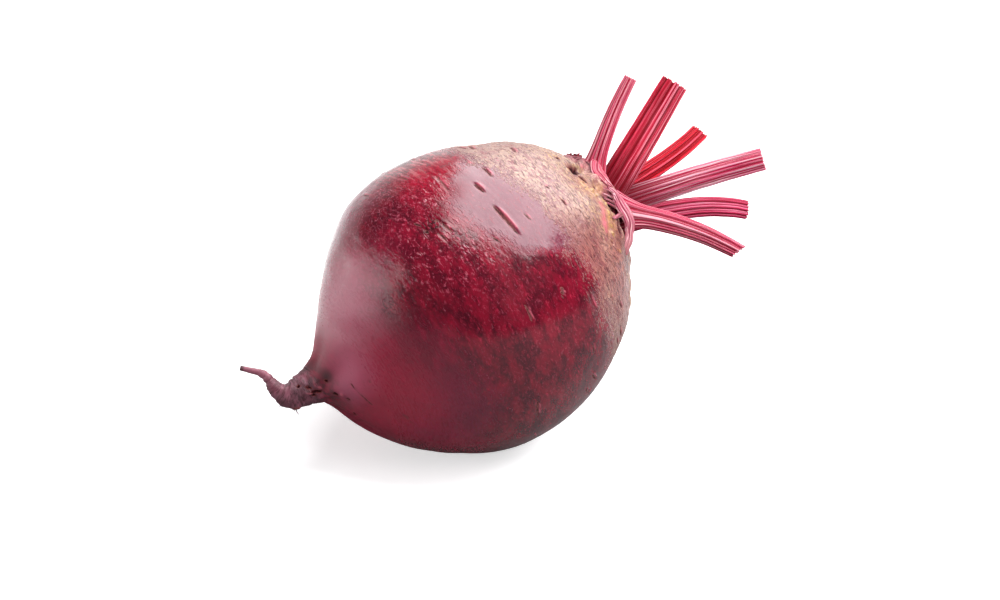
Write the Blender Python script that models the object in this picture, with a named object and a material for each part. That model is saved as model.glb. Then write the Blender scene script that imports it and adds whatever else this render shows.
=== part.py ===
"""A trimmed beetroot lying on its side, in metres, with +Z up and the origin under its belly.

The globe-shaped root and its tap root are one solid. The cut leaf stalks and the short stubs that stand on
the crown are solids of their own, each a hair's breadth clear of the crown that it grows from.

Every piece is modelled in the root's own frame and hangs on the empty "beet", which lays it down:
local +Z runs from the tap root to the crown, local +X points to the side that the root bows to,
and local +Y to the side that lies in front.
"""

import math
from typing import NamedTuple

import bmesh
import bpy
from mathutils import Vector, noise

MM = 0.001

# How the beet lies
AXIS_PITCH = math.radians(22.0)
ROLL = math.radians(144.9)
FLAT_SPOT_SINK = 0.75 * MM
FLOOR_SIZE = 60.0 * MM
CLEARANCE = 0.32 * MM

# The tap root from its cut tip to its neck: place in the root's frame, and radius there
TAP_ROOT = (
    (Vector((16.9, -1.2, -59.8)) * MM, 0.65 * MM),
    (Vector((14.9, -0.5, -58.0)) * MM, 0.75 * MM),
    (Vector((12.8, 0.1, -56.2)) * MM, 0.95 * MM),
    (Vector((10.6, 0.3, -55.6)) * MM, 1.3 * MM),
    (Vector((8.4, 0.3, -55.4)) * MM, 1.75 * MM),
    (Vector((6.4, 0.2, -54.9)) * MM, 2.4 * MM),
    (Vector((4.6, 0.1, -53.5)) * MM, 3.4 * MM),
    (Vector((3.7, 0.0, -51.2)) * MM, 4.0 * MM),
    (Vector((3.5, 0.0, -48.7)) * MM, 4.4 * MM),
    (Vector((3.2, 0.0, -46.4)) * MM, 5.1 * MM),
)
TAP_ROOT_STEPS = 2
TAP_ROOT_SEGMENTS = 20
FOLD_DEPTH = 0.16 * MM
FOLD_SPACING = 2.1 * MM

# The globe from that neck to the top of its crown
GLOBE = (
    (Vector((3.2, 0.0, -46.4)) * MM, 5.1 * MM),
    (Vector((2.0, 0.0, -44.7)) * MM, 6.8 * MM),
    (Vector((0.5, 0.0, -43.2)) * MM, 8.9 * MM),
    (Vector((-0.8, 0.0, -41.5)) * MM, 11.6 * MM),
    (Vector((-1.6, 0.0, -39.3)) * MM, 15.1 * MM),
    (Vector((-2.0, 0.0, -35.6)) * MM, 19.8 * MM),
    (Vector((-1.6, 0.0, -30.5)) * MM, 25.3 * MM),
    (Vector((-0.8, 0.0, -24.0)) * MM, 31.3 * MM),
    (Vector((-0.2, 0.0, -15.0)) * MM, 36.9 * MM),
    (Vector((-0.2, 0.0, -5.0)) * MM, 39.3 * MM),
    (Vector((-0.3, 0.0, 5.0)) * MM, 38.9 * MM),
    (Vector((-0.3, 0.0, 15.0)) * MM, 36.4 * MM),
    (Vector((-0.1, 0.0, 24.0)) * MM, 32.2 * MM),
    (Vector((0.5, 0.0, 30.5)) * MM, 28.2 * MM),
    (Vector((0.8, 0.0, 35.5)) * MM, 22.9 * MM),
    (Vector((1.3, 0.0, 38.4)) * MM, 18.6 * MM),
    (Vector((2.1, 0.0, 40.8)) * MM, 16.1 * MM),
    (Vector((2.8, 0.0, 43.0)) * MM, 14.6 * MM),
    (Vector((3.0, 0.0, 44.8)) * MM, 12.8 * MM),
    (Vector((3.1, 0.0, 46.0)) * MM, 9.8 * MM),
    (Vector((3.1, 0.0, 46.7)) * MM, 5.6 * MM),
    (Vector((3.1, 0.0, 47.0)) * MM, 0.0 * MM),
)
GLOBE_STEPS = 2
GLOBE_SEGMENTS = 60

# Relief of the skin
LUMP_HEIGHT = 0.6 * MM
LUMP_SIZE = 21.0 * MM
FLUTES = 7
FLUTE_DEPTH = 0.4 * MM
FLUTE_HEIGHT = -43.0 * MM
FLUTE_SPREAD = 4.5 * MM
SHOULDER_RIBS = 9
SHOULDER_RIB_HEIGHT = 0.3 * MM
SHOULDER_HEIGHT = 33.0 * MM
SHOULDER_SPREAD = 8.0 * MM

# Scars of shed leaves: pits in a ring round the crown, with a raised rim outside them
CROWN_MIDDLE = 3.0 * MM
CROWN_FROM = 32.0 * MM
SCARS = 9
SCAR_WANDER = 0.5
PIT_RADIUS = 15.6 * MM
PIT_WIDTH = 1.5 * MM
PIT_DEPTH = 1.5 * MM
RIM_RADIUS = 18.4 * MM
RIM_WIDTH = 1.7 * MM
RIM_HEIGHT = 0.5 * MM


class Stalk(NamedTuple):
    """One leaf stalk, cut off. Places are in the root's frame; faces is the way its ribbed back looks."""

    name: str
    foot: Vector
    middle: Vector
    tip: Vector
    foot_width: float
    width: float
    tip_width: float
    thickness: float
    faces: float
    slant: float
    ribs: int


STALKS = (
    Stalk("stalk_upper", Vector((9.0, 7.2, 42.8)) * MM, Vector((18.0, 10.4, 53.8)) * MM,
          Vector((25.0, 14.0, 64.6)) * MM, 8.0 * MM, 4.9 * MM, 3.2 * MM, 2.6 * MM, math.radians(66), 0.0, 7),
    Stalk("stalk_broad", Vector((2.0, 2.7, 43.4)) * MM, Vector((10.4, 4.2, 61.0)) * MM,
          Vector((18.0, 6.5, 76.6)) * MM, 8.2 * MM, 8.7 * MM, 7.0 * MM, 4.8 * MM, math.radians(84), 0.0, 9),
    Stalk("stalk_far", Vector((4.4, -8.4, 43.0)) * MM, Vector((2.3, -13.0, 63.8)) * MM,
          Vector((3.9, -19.0, 84.2)) * MM, 5.6 * MM, 5.6 * MM, 5.0 * MM, 3.6 * MM, math.radians(-70), -0.35, 8),
    Stalk("stalk_middle", Vector((0.7, -3.5, 43.6)) * MM, Vector((-5.3, 0.0, 66.6)) * MM,
          Vector((-11.6, 6.0, 85.9)) * MM, 6.0 * MM, 7.0 * MM, 6.0 * MM, 4.2 * MM, math.radians(115), 0.0, 9),
    Stalk("stalk_low", Vector((-4.2, -8.2, 42.4)) * MM, Vector((-10.9, -11.8, 65.6)) * MM,
          Vector((-20.8, -15.5, 82.0)) * MM, 5.6 * MM, 6.4 * MM, 5.4 * MM, 3.8 * MM, math.radians(252), 0.0, 8),
    Stalk("stalk_front", Vector((-2.2, 9.1, 42.4)) * MM, Vector((-14.0, 13.3, 53.9)) * MM,
          Vector((-27.9, 17.0, 62.2)) * MM, 12.4 * MM, 6.4 * MM, 4.1 * MM, 3.4 * MM, math.radians(98), -0.4, 8),
    Stalk("stub_rim", Vector((13.0, -4.0, 41.0)) * MM, Vector((14.9, -4.6, 43.5)) * MM,
          Vector((16.8, -5.2, 45.9)) * MM, 6.0 * MM, 5.6 * MM, 4.6 * MM, 3.0 * MM, math.radians(80), 0.3, 6),
    Stalk("stub_back", Vector((-0.2, -11.4, 41.0)) * MM, Vector((-0.4, -13.1, 44.0)) * MM,
          Vector((-0.6, -14.8, 47.0)) * MM, 6.0 * MM, 5.0 * MM, 4.6 * MM, 2.6 * MM, math.radians(265), -0.3, 6),
    Stalk("stub_low", Vector((-5.0, 0.6, 43.2)) * MM, Vector((-5.9, 0.7, 46.0)) * MM,
          Vector((-6.8, 0.8, 48.6)) * MM, 5.6 * MM, 4.8 * MM, 4.4 * MM, 2.6 * MM, math.radians(180), 0.3, 6),
)
STALK_RING_SPACING = 3.4 * MM
SEGMENTS_PER_RIB = 4
RIB_HEIGHT = 0.20 * MM
CHANNEL_DEPTH = 0.36
FOOT_THINNING = 0.80
FOOT_LENGTH = 9.0 * MM

SKIN_COLOUR = (0.155, 0.018, 0.036, 1.0)
STALK_COLOUR = (0.560, 0.045, 0.110, 1.0)


def clear_scene():
    for obj in list(bpy.data.objects):
        bpy.data.objects.remove(obj)


def material(name, colour, roughness):
    made = bpy.data.materials.new(name)
    made.use_nodes = True
    shader = made.node_tree.nodes["Principled BSDF"]
    shader.inputs["Base Color"].default_value = colour
    shader.inputs["Roughness"].default_value = roughness
    shader.inputs["Metallic"].default_value = 0.0
    return made


def through(values, position):
    """A smooth curve through evenly numbered values, at position 0 to len(values) - 1."""
    last = len(values) - 1
    index = min(int(position), last - 1)
    start, end = values[index], values[index + 1]
    start_slope = (end - values[max(index - 1, 0)]) * 0.5
    end_slope = (values[min(index + 2, last)] - start) * 0.5
    share = position - index
    square, cube = share**2, share**3
    return (
        start * (2 * cube - 3 * square + 1)
        + start_slope * (cube - 2 * square + share)
        + end * (3 * square - 2 * cube)
        + end_slope * (cube - square)
    )


def bell(value, centre, spread):
    return math.exp(-(((value - centre) / spread) ** 2))


def ring(centre, towards_crown, radius, count):
    """Points of a circle round centre, square to the way the root runs."""
    across = Vector((0.0, 1.0, 0.0)).cross(towards_crown).normalized()
    front = towards_crown.cross(across).normalized()
    points = []
    for index in range(count):
        angle = math.tau * index / count
        points.append(centre + (across * math.cos(angle) + front * math.sin(angle)) * radius)
    return points


def tap_root_rings():
    """Rings from the cut tip up to just short of the neck, a little folded."""
    places, radii = [place for place, _ in TAP_ROOT], [radius for _, radius in TAP_ROOT]
    last = len(places) - 1
    rings, run, before = [], 0.0, places[0]
    for index in range(last * TAP_ROOT_STEPS):
        position = index / TAP_ROOT_STEPS
        centre, radius = through(places, position), through(radii, position)
        ahead = through(places, position + 0.25) - through(places, max(position - 0.25, 0.0))
        run += (centre - before).length
        before = centre
        fold = FOLD_DEPTH * math.sin(math.tau * run / FOLD_SPACING) * min(1.0, radius / (3 * MM))
        rings.append(ring(centre, ahead.normalized(), radius + fold, TAP_ROOT_SEGMENTS))
    return rings


def globe_rings():
    """Rings from the neck to just short of the top of the crown."""
    places, radii = [place for place, _ in GLOBE], [radius for _, radius in GLOBE]
    rings = []
    for index in range((len(places) - 1) * GLOBE_STEPS):
        centre, radius = through(places, index / GLOBE_STEPS), through(radii, index / GLOBE_STEPS)
        rings.append(ring(centre, Vector((0.0, 0.0, 1.0)), radius, GLOBE_SEGMENTS))
    return rings


def crown_relief(point):
    """How far the crown's scars stand out or go in at a point of it."""
    out = math.hypot(point.x - CROWN_MIDDLE, point.y)
    around = math.atan2(point.y, point.x - CROWN_MIDDLE)
    wander = SCAR_WANDER * noise.noise(point / (9 * MM))
    ridge = 0.5 + 0.5 * math.cos(SCARS * (around + wander))
    pit = PIT_DEPTH * bell(out, PIT_RADIUS, PIT_WIDTH) * (1 - ridge)
    return RIM_HEIGHT * bell(out, RIM_RADIUS, RIM_WIDTH) * (0.4 + 0.6 * ridge) - pit


def relief(point):
    """How far the skin stands out of the smooth root at a point of it."""
    around = math.atan2(point.y, point.x)
    height = LUMP_HEIGHT * noise.noise(point / LUMP_SIZE)
    height += FLUTE_DEPTH * math.cos(FLUTES * around) * bell(point.z, FLUTE_HEIGHT, FLUTE_SPREAD)
    ribs = math.cos(SHOULDER_RIBS * around + 2 * noise.noise(point / LUMP_SIZE))
    height += SHOULDER_RIB_HEIGHT * ribs * bell(point.z, SHOULDER_HEIGHT, SHOULDER_SPREAD)
    if point.z > CROWN_FROM:
        height += crown_relief(point)
    return height


def add_band(skin, lower, upper):
    """Faces between two closed rows of points, where the upper row may have a multiple of the lower one's."""
    per_edge = len(upper) // len(lower)
    for index, start in enumerate(lower):
        end = lower[(index + 1) % len(lower)]
        above = [upper[(index * per_edge + step) % len(upper)] for step in range(per_edge + 1)]
        turn = (per_edge + 1) // 2
        for step in range(per_edge):
            skin.faces.new((start if step < turn else end, above[step + 1], above[step]))
        skin.faces.new((start, end, above[turn]))


def skinned(rings, first_end, last_end):
    """A closed skin over rings of points, with one point at each end."""
    skin = bmesh.new()
    rows = [[skin.verts.new(point) for point in points] for points in rings]
    for lower, upper in zip(rows, rows[1:]):
        add_band(skin, lower, upper)
    bottom, top = skin.verts.new(first_end), skin.verts.new(last_end)
    for row, end, order in ((rows[0], bottom, -1), (rows[-1], top, 1)):
        for vert, beside in zip(row, row[1:] + row[:1]):
            skin.faces.new((end, vert, beside)[::order])
    bmesh.ops.recalc_face_normals(skin, faces=skin.faces)
    return skin


def root_skin(proud=0.0):
    """The root with its relief, or one that stands proud of it all over."""
    skin = skinned(tap_root_rings() + globe_rings(), TAP_ROOT[0][0], GLOBE[-1][0])
    shifts = [(vert, vert.normal * relief(vert.co)) for vert in skin.verts]
    for vert, shift in shifts:
        vert.co += shift
    skin.normal_update()
    for vert in skin.verts:
        vert.co += vert.normal * proud
    return skin


def object_of(name, skin, parent, paint=None):
    mesh = bpy.data.meshes.new(name)
    skin.to_mesh(mesh)
    skin.free()
    mesh.shade_smooth()
    obj = bpy.data.objects.new(name, mesh)
    obj.parent = parent
    bpy.context.scene.collection.objects.link(obj)
    if paint:
        mesh.materials.append(paint)
    return obj


def hidden_tool(obj):
    obj.hide_render = True
    obj.display_type = "WIRE"
    return obj


def cut(obj, tool):
    modifier = obj.modifiers.new("cut_by_" + tool.name, "BOOLEAN")
    modifier.operation = "DIFFERENCE"
    modifier.object = tool


def stalk_section(stalk, share, foot, centre, back, side):
    """One ring of a stalk: ribbed all round, and channelled on the face that looks away from its back."""
    half_width = 0.5 * (stalk.width + (stalk.tip_width - stalk.width) * share)
    half_width += 0.5 * (stalk.foot_width - stalk.width) * foot
    half_thickness = 0.5 * stalk.thickness * (1 - foot + FOOT_THINNING * foot)
    points = []
    count = stalk.ribs * SEGMENTS_PER_RIB
    for index in range(count):
        angle = math.tau * index / count
        rib = RIB_HEIGHT * math.cos(stalk.ribs * angle)
        across = (half_width + rib) * math.cos(angle)
        out = (half_thickness + rib) * math.sin(angle)
        if out < 0:
            out += CHANNEL_DEPTH * half_thickness * math.sin(angle) ** 2
        points.append(centre + side * across + back * out)
    return points


def stalk_skin(stalk):
    """A stalk along the curve from its foot through its middle to its cut tip."""
    reach = (stalk.tip - stalk.foot).length
    steps = max(3, round(reach / STALK_RING_SPACING))
    knee = stalk.middle * 2 - (stalk.foot + stalk.tip) / 2
    faces = Vector((math.cos(stalk.faces), math.sin(stalk.faces), 0.0))
    rings = []
    for index in range(steps + 1):
        share = index / steps
        centre = stalk.foot * (1 - share) ** 2 + knee * (2 * share * (1 - share)) + stalk.tip * share**2
        along = ((knee - stalk.foot) * (1 - share) + (stalk.tip - knee) * share).normalized()
        side = along.cross(faces).normalized()
        back = side.cross(along)
        foot = max(0.0, 1 - share * reach / FOOT_LENGTH) ** 2
        points = stalk_section(stalk, share, foot, centre, back, side)
        if index == steps:
            points = [point + along * (stalk.slant * (point - centre).dot(side)) for point in points]
        rings.append(points)
    return skinned(rings, *(sum(points, Vector()) / len(points) for points in (rings[0], rings[-1])))


def lay_down(parent, root):
    """Turns the beet on its side and sets the lowest point of its belly under the origin, a little sunk in."""
    parent.rotation_mode = "ZYX"
    parent.rotation_euler = (0.0, math.pi / 2 - AXIS_PITCH, ROLL)
    bpy.context.view_layer.update()
    lowest = min((parent.matrix_world @ vert.co for vert in root.data.vertices), key=lambda place: place.z)
    parent.location = -lowest - Vector((0.0, 0.0, FLAT_SPOT_SINK))


def floor_tool():
    """A block whose top is the surface that the beet lies on."""
    skin = bmesh.new()
    bmesh.ops.create_cube(skin, size=FLOOR_SIZE)
    for vert in skin.verts:
        vert.co.z -= FLOOR_SIZE / 2
    return hidden_tool(object_of("floor_tool", skin, None))


def build():
    clear_scene()
    beet = bpy.data.objects.new("beet", None)
    bpy.context.scene.collection.objects.link(beet)
    skin_paint = material("beet_skin", SKIN_COLOUR, 0.45)
    stalk_paint = material("beet_stalk", STALK_COLOUR, 0.40)

    root = object_of("root", root_skin(), beet, skin_paint)
    lay_down(beet, root)
    cut(root, floor_tool())
    crown_tool = hidden_tool(object_of("crown_tool", root_skin(CLEARANCE), beet))
    for stalk in STALKS:
        cut(object_of(stalk.name, stalk_skin(stalk), beet, stalk_paint), crown_tool)


build()
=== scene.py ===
"""The looks of a trimmed beetroot lying on its side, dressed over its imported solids.

The root and every stalk are rebuilt as fine meshes from the same named values as the solids, with the
wrinkles, cracks, scars and ribs that the solids leave out, and each one stands for its solid.
Lengths are in millimetres in the root's own frame until a mesh is laid down in the scene, in metres:
local +Z runs from the tap root to the crown, +X to the side that the root bows to, +Y to the front.
"""

import math
import random
from typing import NamedTuple

import bpy
import numpy as np
from mathutils import Euler, Matrix, Vector, noise


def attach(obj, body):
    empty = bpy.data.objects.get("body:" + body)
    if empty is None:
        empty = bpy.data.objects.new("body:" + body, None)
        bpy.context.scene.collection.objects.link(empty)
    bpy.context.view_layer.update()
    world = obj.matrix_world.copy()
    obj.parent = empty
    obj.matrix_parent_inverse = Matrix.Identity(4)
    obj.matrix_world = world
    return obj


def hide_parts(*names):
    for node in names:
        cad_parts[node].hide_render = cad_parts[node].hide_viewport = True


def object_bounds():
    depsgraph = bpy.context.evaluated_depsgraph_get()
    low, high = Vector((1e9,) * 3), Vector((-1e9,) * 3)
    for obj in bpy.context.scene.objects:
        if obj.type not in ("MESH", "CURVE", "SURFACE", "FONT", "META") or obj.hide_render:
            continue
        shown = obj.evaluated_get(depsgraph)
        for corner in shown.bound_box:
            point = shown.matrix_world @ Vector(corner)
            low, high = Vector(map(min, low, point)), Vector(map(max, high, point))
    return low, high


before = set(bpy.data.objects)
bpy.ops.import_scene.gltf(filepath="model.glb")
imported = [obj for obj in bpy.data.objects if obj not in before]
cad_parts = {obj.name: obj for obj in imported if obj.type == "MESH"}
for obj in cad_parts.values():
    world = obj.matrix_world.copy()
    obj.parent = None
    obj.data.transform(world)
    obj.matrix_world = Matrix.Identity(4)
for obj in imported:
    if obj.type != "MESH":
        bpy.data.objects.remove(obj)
cad_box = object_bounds()

# How the beet lies
AXIS_PITCH = math.radians(22.0)
ROLL = math.radians(144.9)
LIES_AT = Vector((0.025, -0.4673, 39.4104))

# The tap root from its cut tip to its neck, then the globe to the top of its crown: x, y, z, radius
TAP_ROOT = (
    (16.9, -1.2, -59.8, 0.65), (14.9, -0.5, -58.0, 0.75), (12.8, 0.1, -56.2, 0.95), (10.6, 0.3, -55.6, 1.3),
    (8.4, 0.3, -55.4, 1.75), (6.4, 0.2, -54.9, 2.4), (4.6, 0.1, -53.5, 3.4), (3.7, 0.0, -51.2, 4.0),
    (3.5, 0.0, -48.7, 4.4), (3.2, 0.0, -46.4, 5.1),
)
GLOBE = (
    (3.2, 0, -46.4, 5.1), (2.0, 0, -44.7, 6.8), (0.5, 0, -43.2, 8.9), (-0.8, 0, -41.5, 11.6),
    (-1.6, 0, -39.3, 15.1), (-2.0, 0, -35.6, 19.8), (-1.6, 0, -30.5, 25.3), (-0.8, 0, -24.0, 31.3),
    (-0.2, 0, -15.0, 36.9), (-0.2, 0, -5.0, 39.3), (-0.3, 0, 5.0, 38.9), (-0.3, 0, 15.0, 36.4),
    (-0.1, 0, 24.0, 32.2), (0.5, 0, 30.5, 28.2), (0.8, 0, 35.5, 22.9), (1.3, 0, 38.4, 18.6),
    (2.1, 0, 40.8, 16.1), (2.8, 0, 43.0, 14.6), (3.0, 0, 44.8, 12.8), (3.1, 0, 46.0, 9.8),
    (3.1, 0, 46.7, 5.6), (3.1, 0, 47.0, 0.0),
)
GLOBE_COLUMNS = 258
TAP_ROOT_COLUMNS = 86
GLOBE_ROW = 0.42
TAP_ROOT_ROW = 0.30
TAP_ROOT_ENDS = (-49, -44)
UP = (0.0, 0.0, 1.0)

# Where the root's skin lies on the flat, from its tip to its crown
FLAT_START = 0.012
FLAT_LENGTH = 0.98

# Relief that the solids have too
LUMP_HEIGHT = 0.6
LUMP_SIZE = 21.0
FLUTES = 7
FLUTE_DEPTH = 0.4
FLUTE_HEIGHT = -43.0
FLUTE_SPREAD = 4.5
SHOULDER_RIBS = 9
SHOULDER_RIB_HEIGHT = 0.3
SHOULDER_HEIGHT = 33.0
SHOULDER_SPREAD = 8.0
CROWN_MIDDLE = 3.0
TRENCH_RADIUS = 14.6
TRENCH_WIDTH = 1.5
TRENCH_DEPTH = 1.5
TRENCH_FRONT = (110, 26)
TRENCH_HEIGHTS = (37, 39.5)
CROWN_HEIGHTS = (32.0, 33.5)
SCARS = 9
SCAR_WANDER = 0.5
PIT_RADIUS = 15.6
PIT_WIDTH = 1.5
PIT_DEPTH = 1.5
RIM_RADIUS = 18.4
RIM_WIDTH = 1.7
RIM_HEIGHT = 0.5


class Mark(NamedTuple):
    """A crack, pit or bead on the skin, from one place to another.

    Depth goes down, and lip up along its side towards the crown. Ragged is how uneven its edge is, and dark
    how dark it is painted inside, as painted shade in pits and cracks. Cork is above 0 for a corky mark and
    below 0 for a pink one.
    """

    start: tuple
    end: tuple
    width: float
    depth: float
    lip: float = 0.0
    ragged: float = 0.6
    dark: float = 0.0
    cork: float = 0.0


def crack(start, end, width, depth, lip):
    return Mark(start, end, width, depth, lip, ragged=0.25, dark=0.8)


def hole(start, end, width, depth, dark=1.6):
    return Mark(start, end, width, depth, ragged=0.5, dark=dark)


def bead(start, end, width, height):
    return Mark(start, end, width, -height, ragged=0.7, cork=1.0)


def ridge(start, end, width, height):
    return Mark(start, end, width, -height, cork=-0.75)


def knob(start, end, width, height):
    return Mark(start, end, width, -height, dark=0.5)


# Marks that the photograph shows
MARKS = (
    crack((15.4, 34.7, 9.1), (6.8, 37.3, 9.7), 0.5, 0.5, 0.45),
    crack((23.0, 30.0, 9.3), (19.9, 32.1, 9.8), 0.45, 0.4, 0.4),
    crack((25.3, 26.3, 14.6), (22.1, 29.1, 14.5), 0.4, 0.35, 0.3),
    crack((21.6, 32.2, 6.6), (20.6, 32.8, 6.6), 0.3, 0.3, 0.1),
    crack((30.0, 24.3, 3.8), (25.2, 29.4, 3.1), 0.35, 0.2, 0.1),
    crack((-2.0, 34.0, 17.0), (-6.5, 33.0, 17.8), 0.4, 0.35, 0.35),
    crack((0.5, 36.0, 13.5), (-3.0, 36.0, 13.6), 0.35, 0.3, 0.3),
    hole((12.6, 18.0, 36.6), (13.0, 13.8, 39.0), 1.3, 2.1, 1.8),
    hole((14.1, 18.0, 35.8), (13.3, 17.2, 36.8), 0.65, 0.7),
    ridge((12.9, 11.5, 40.7), (12.0, 11.9, 40.5), 0.9, 0.35),
    hole((14.0, 11.8, 40.5), (13.7, 11.6, 40.9), 0.45, 0.5, 1.5),
    hole((18.3, 16.7, 35.1), (17.4, 16.4, 35.5), 0.5, 0.8),
    hole((10.8, 17.9, 37.2), (8.0, 17.8, 38.0), 0.6, 0.8, 1.5),
    hole((6.6, 16.5, 39.0), (6.3, 14.8, 40.0), 0.6, 0.6, 1.2),
    hole((0.9, 14.0, 41.3), (-2.3, 15.4, 40.7), 0.85, 1.0),
    hole((-4.2, 15.9, 39.9), (-7.6, 16.5, 38.7), 0.95, 1.5),
    hole((-7.6, 24.0, 33.2), (-8.2, 24.0, 33.0), 0.45, 0.5, 0.6),
    knob((1.4, 0.8, -54.3), (0.9, 1.5, -53.3), 0.8, 0.6),
    ridge((1.6, 21.5, 37.0), (-4.6, 25.2, 32.9), 1.7, 0.3),
    ridge((4.5, 4.8, -46.9), (2.6, 4.6, -47.4), 0.5, 0.4),
    ridge((2.4, 4.6, -47.2), (1.3, 4.6, -46.0), 0.5, 0.4),
    ridge((2.6, 3.6, -50.2), (0.9, 3.6, -48.2), 0.4, 0.35),
    ridge((-2.7, 8.2, -43.4), (-3.1, 8.0, -43.4), 0.8, 0.3),
    hole((5.2, 3.7, -50.7), (4.7, 3.6, -50.9), 0.55, 0.5, 1.0),
    hole((3.6, 4.1, -49.4), (3.0, 4.3, -48.6), 0.6, 0.35, 0.9),
    hole((1.9, 4.0, -48.8), (0.7, 4.1, -46.6), 0.45, 0.5, 1.3),
    hole((1.5, 3.5, -49.0), (0.8, 3.4, -48.3), 0.35, 0.4, 1.2),
    hole((2.3, 6.3, -44.9), (2.0, 6.4, -44.8), 0.7, 0.4, 1.2),
    hole((-1.8, 6.3, -44.5), (-2.1, 6.4, -44.5), 0.8, 0.6, 1.4),
    hole((-4.5, 7.1, -42.7), (-4.8, 7.2, -42.7), 0.65, 0.5, 1.4),
    hole((-8.5, 4.4, -42.9), (-8.8, 4.5, -42.8), 0.65, 0.6, 1.4),
    hole((19.1, 33.7, -8.3), (19.0, 33.7, -8.5), 0.5, 0.5, 1.5),
    hole((20.1, 33.4, -4.5), (19.8, 33.6, -4.9), 0.5, 0.4, 1.3),
    hole((22.2, 32.0, -5.4), (22.0, 32.1, -5.6), 0.4, 0.4, 1.2),
    crack((18.6, 34.4, -4.0), (16.0, 35.7, -3.7), 0.3, 0.35, 0.3),
    crack((17.0, 35.2, -6.4), (14.6, 36.1, -5.8), 0.3, 0.3, 0.3),
    crack((-1.9, 12.8, -41.0), (-9.1, 12.1, -39.3), 0.30, 0.25, 0.10),
    hole((-3.8, 17.0, -37.5), (-4.3, 17.1, -37.4), 0.6, 0.2, 0.35),
    hole((-14.6, 15.6, -34.6), (-17.0, 15.0, -34.2), 0.55, 0.2, 0.35),
)

# The row of corky beads that the photograph shows along the front of the crown
CORK_ROW = (
    (16.0, 18.5, 34.6), (12.4, 19.6, 35.3), (7.8, 20.6, 36.0), (3.4, 18.8, 38.0), (-1.0, 19.4, 37.4),
    (-5.0, 21.2, 35.6), (-8.6, 22.6, 34.0), (-11.0, 23.2, 32.6),
)
CORK_ROW_BEADS = 90

# Where the corky shoulder, the pale patch and the smooth end begin: degrees round the root, height there. The
# pale patch is partly a painted highlight.
SHOULDER_BORDER = (
    (0, 18), (14, 15), (27, 14), (44, 15.5), (53, 18), (66, 20), (79, 20.5), (86, 21.5), (91, 21.5),
    (97, 19.5), (106, 21), (130, 20), (190, 23), (250, 19), (310, 20),
)
PATCH_BORDER = (
    (0, 18), (16, 15.5), (27, 13.5), (36, 11.5), (42, 8.3), (47, 4.2), (59, -0.5), (71, 1.5), (83, 6),
    (88, 9), (92, 14), (96, 20), (112, 22), (180, 17), (250, 9), (310, 16),
)
SMOOTH_BORDER = (
    (0, -25), (36, -20), (55, -22), (68, -24), (86, -21), (100, -17), (130, -14), (200, -18), (300, -15),
)
BORDER_WANDER, BORDER_WANDER_SIZE = 3.5, (17, 17, 11)
BORDER_FRAY, BORDER_FRAY_SIZE = 1.5, (6, 6, 3.5)

# The side that the photograph shows, where the borders wander less: degrees round the root, and its spread
SHOWN_SIDE = (66, 60)

# Marks like them on every side, shorter and finer between the angles where the photograph's own ones stand
CRACKS = 90
CRACKS_SHOWN = (0.55, 1.75)
SIDE_ROOTS = 26
CORK_BEADS = 34
MARK_SEED = 11

# Relief that the solids leave out, as heights
NET_HEIGHT = 0.034
SWELLING_HEIGHT = 0.10
BARK_STREAK_HEIGHT = 0.07
BARK_FOLD_HEIGHT = 0.10
BARK_GRAIN_HEIGHT = 0.05
CROWN_KNOB_HEIGHT = 0.28
TAP_ROOT_FOLD_HEIGHT = 0.14
TAP_ROOT_LUMP_HEIGHT = 0.30

TAU = math.tau


def through(values, positions):
    """Rows of values on a smooth curve through evenly numbered ones, at positions 0 to len(values) - 1."""
    values = np.asarray(values, float)
    last = len(values) - 1
    index = np.minimum(np.asarray(positions).astype(int), last - 1)
    share = (positions - index)[:, None]
    start, end = values[index], values[index + 1]
    start_slope = (end - values[np.maximum(index - 1, 0)]) / 2
    end_slope = (values[np.minimum(index + 2, last)] - start) / 2
    square, cube = share**2, share**3
    return (
        start * (2 * cube - 3 * square + 1)
        + start_slope * (cube - 2 * square + share)
        + end * (3 * square - 2 * cube)
        + end_slope * (cube - square)
    )


def unit(vectors):
    return vectors / np.maximum(np.linalg.norm(vectors, axis=-1, keepdims=True), 1e-12)


def bell(value, centre, spread):
    return np.exp(-(((value - centre) / spread) ** 2))


def ease(value, low, high):
    """0 below low, 1 above high, and a smooth step between them."""
    share = np.clip((value - low) / (high - low), 0, 1)
    return share * share * (3 - 2 * share)


def triples(x, y, z):
    """Three numbers for each point. A single row, column or number is repeated to fit the others."""
    return np.stack(np.broadcast_arrays(x, y, z), -1)


def field(points, size, seed=0):
    """Smooth noise, about -1 to 1, whose lumps are size across. The size may differ along x, y and z."""
    spots = points / np.asarray(size, float) + 17.3 * seed
    return np.array([noise.noise(spot) for spot in spots.tolist()])


def creases(points, size, seed, sharp):
    """1 along the winding lines of a net, and less between them."""
    return 1 - sharp * np.abs(field(points, size, seed))


def rows_by_length(table, spacing):
    """Positions along a table of places and radii, at about equal steps of length over its surface."""
    fine = np.linspace(0, len(table) - 1, 4000)
    values = through(table, fine)
    run = np.concatenate([[0], np.cumsum(np.linalg.norm(np.diff(values, axis=0), axis=1))])
    count = int(run[-1] / spacing)
    return np.interp(np.linspace(0, run[-1], count + 1), run, fine)


def grid_around(centres, towards, radii, columns):
    """Circles round the centres, square to the way the root runs there."""
    across = unit(np.cross(np.array([0.0, 1.0, 0.0]), towards))
    front = unit(np.cross(towards, across))
    angles = TAU * np.arange(columns) / columns
    around = across[:, None] * np.cos(angles)[:, None] + front[:, None] * np.sin(angles)[:, None]
    return centres[:, None] + around * radii[:, None, None]


def normals_of(grid):
    """Outward normals of a grid whose columns close on themselves."""
    along = np.gradient(grid, axis=0)
    around = np.roll(grid, -1, 1) - np.roll(grid, 1, 1)
    return unit(np.cross(around, along))


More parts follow.
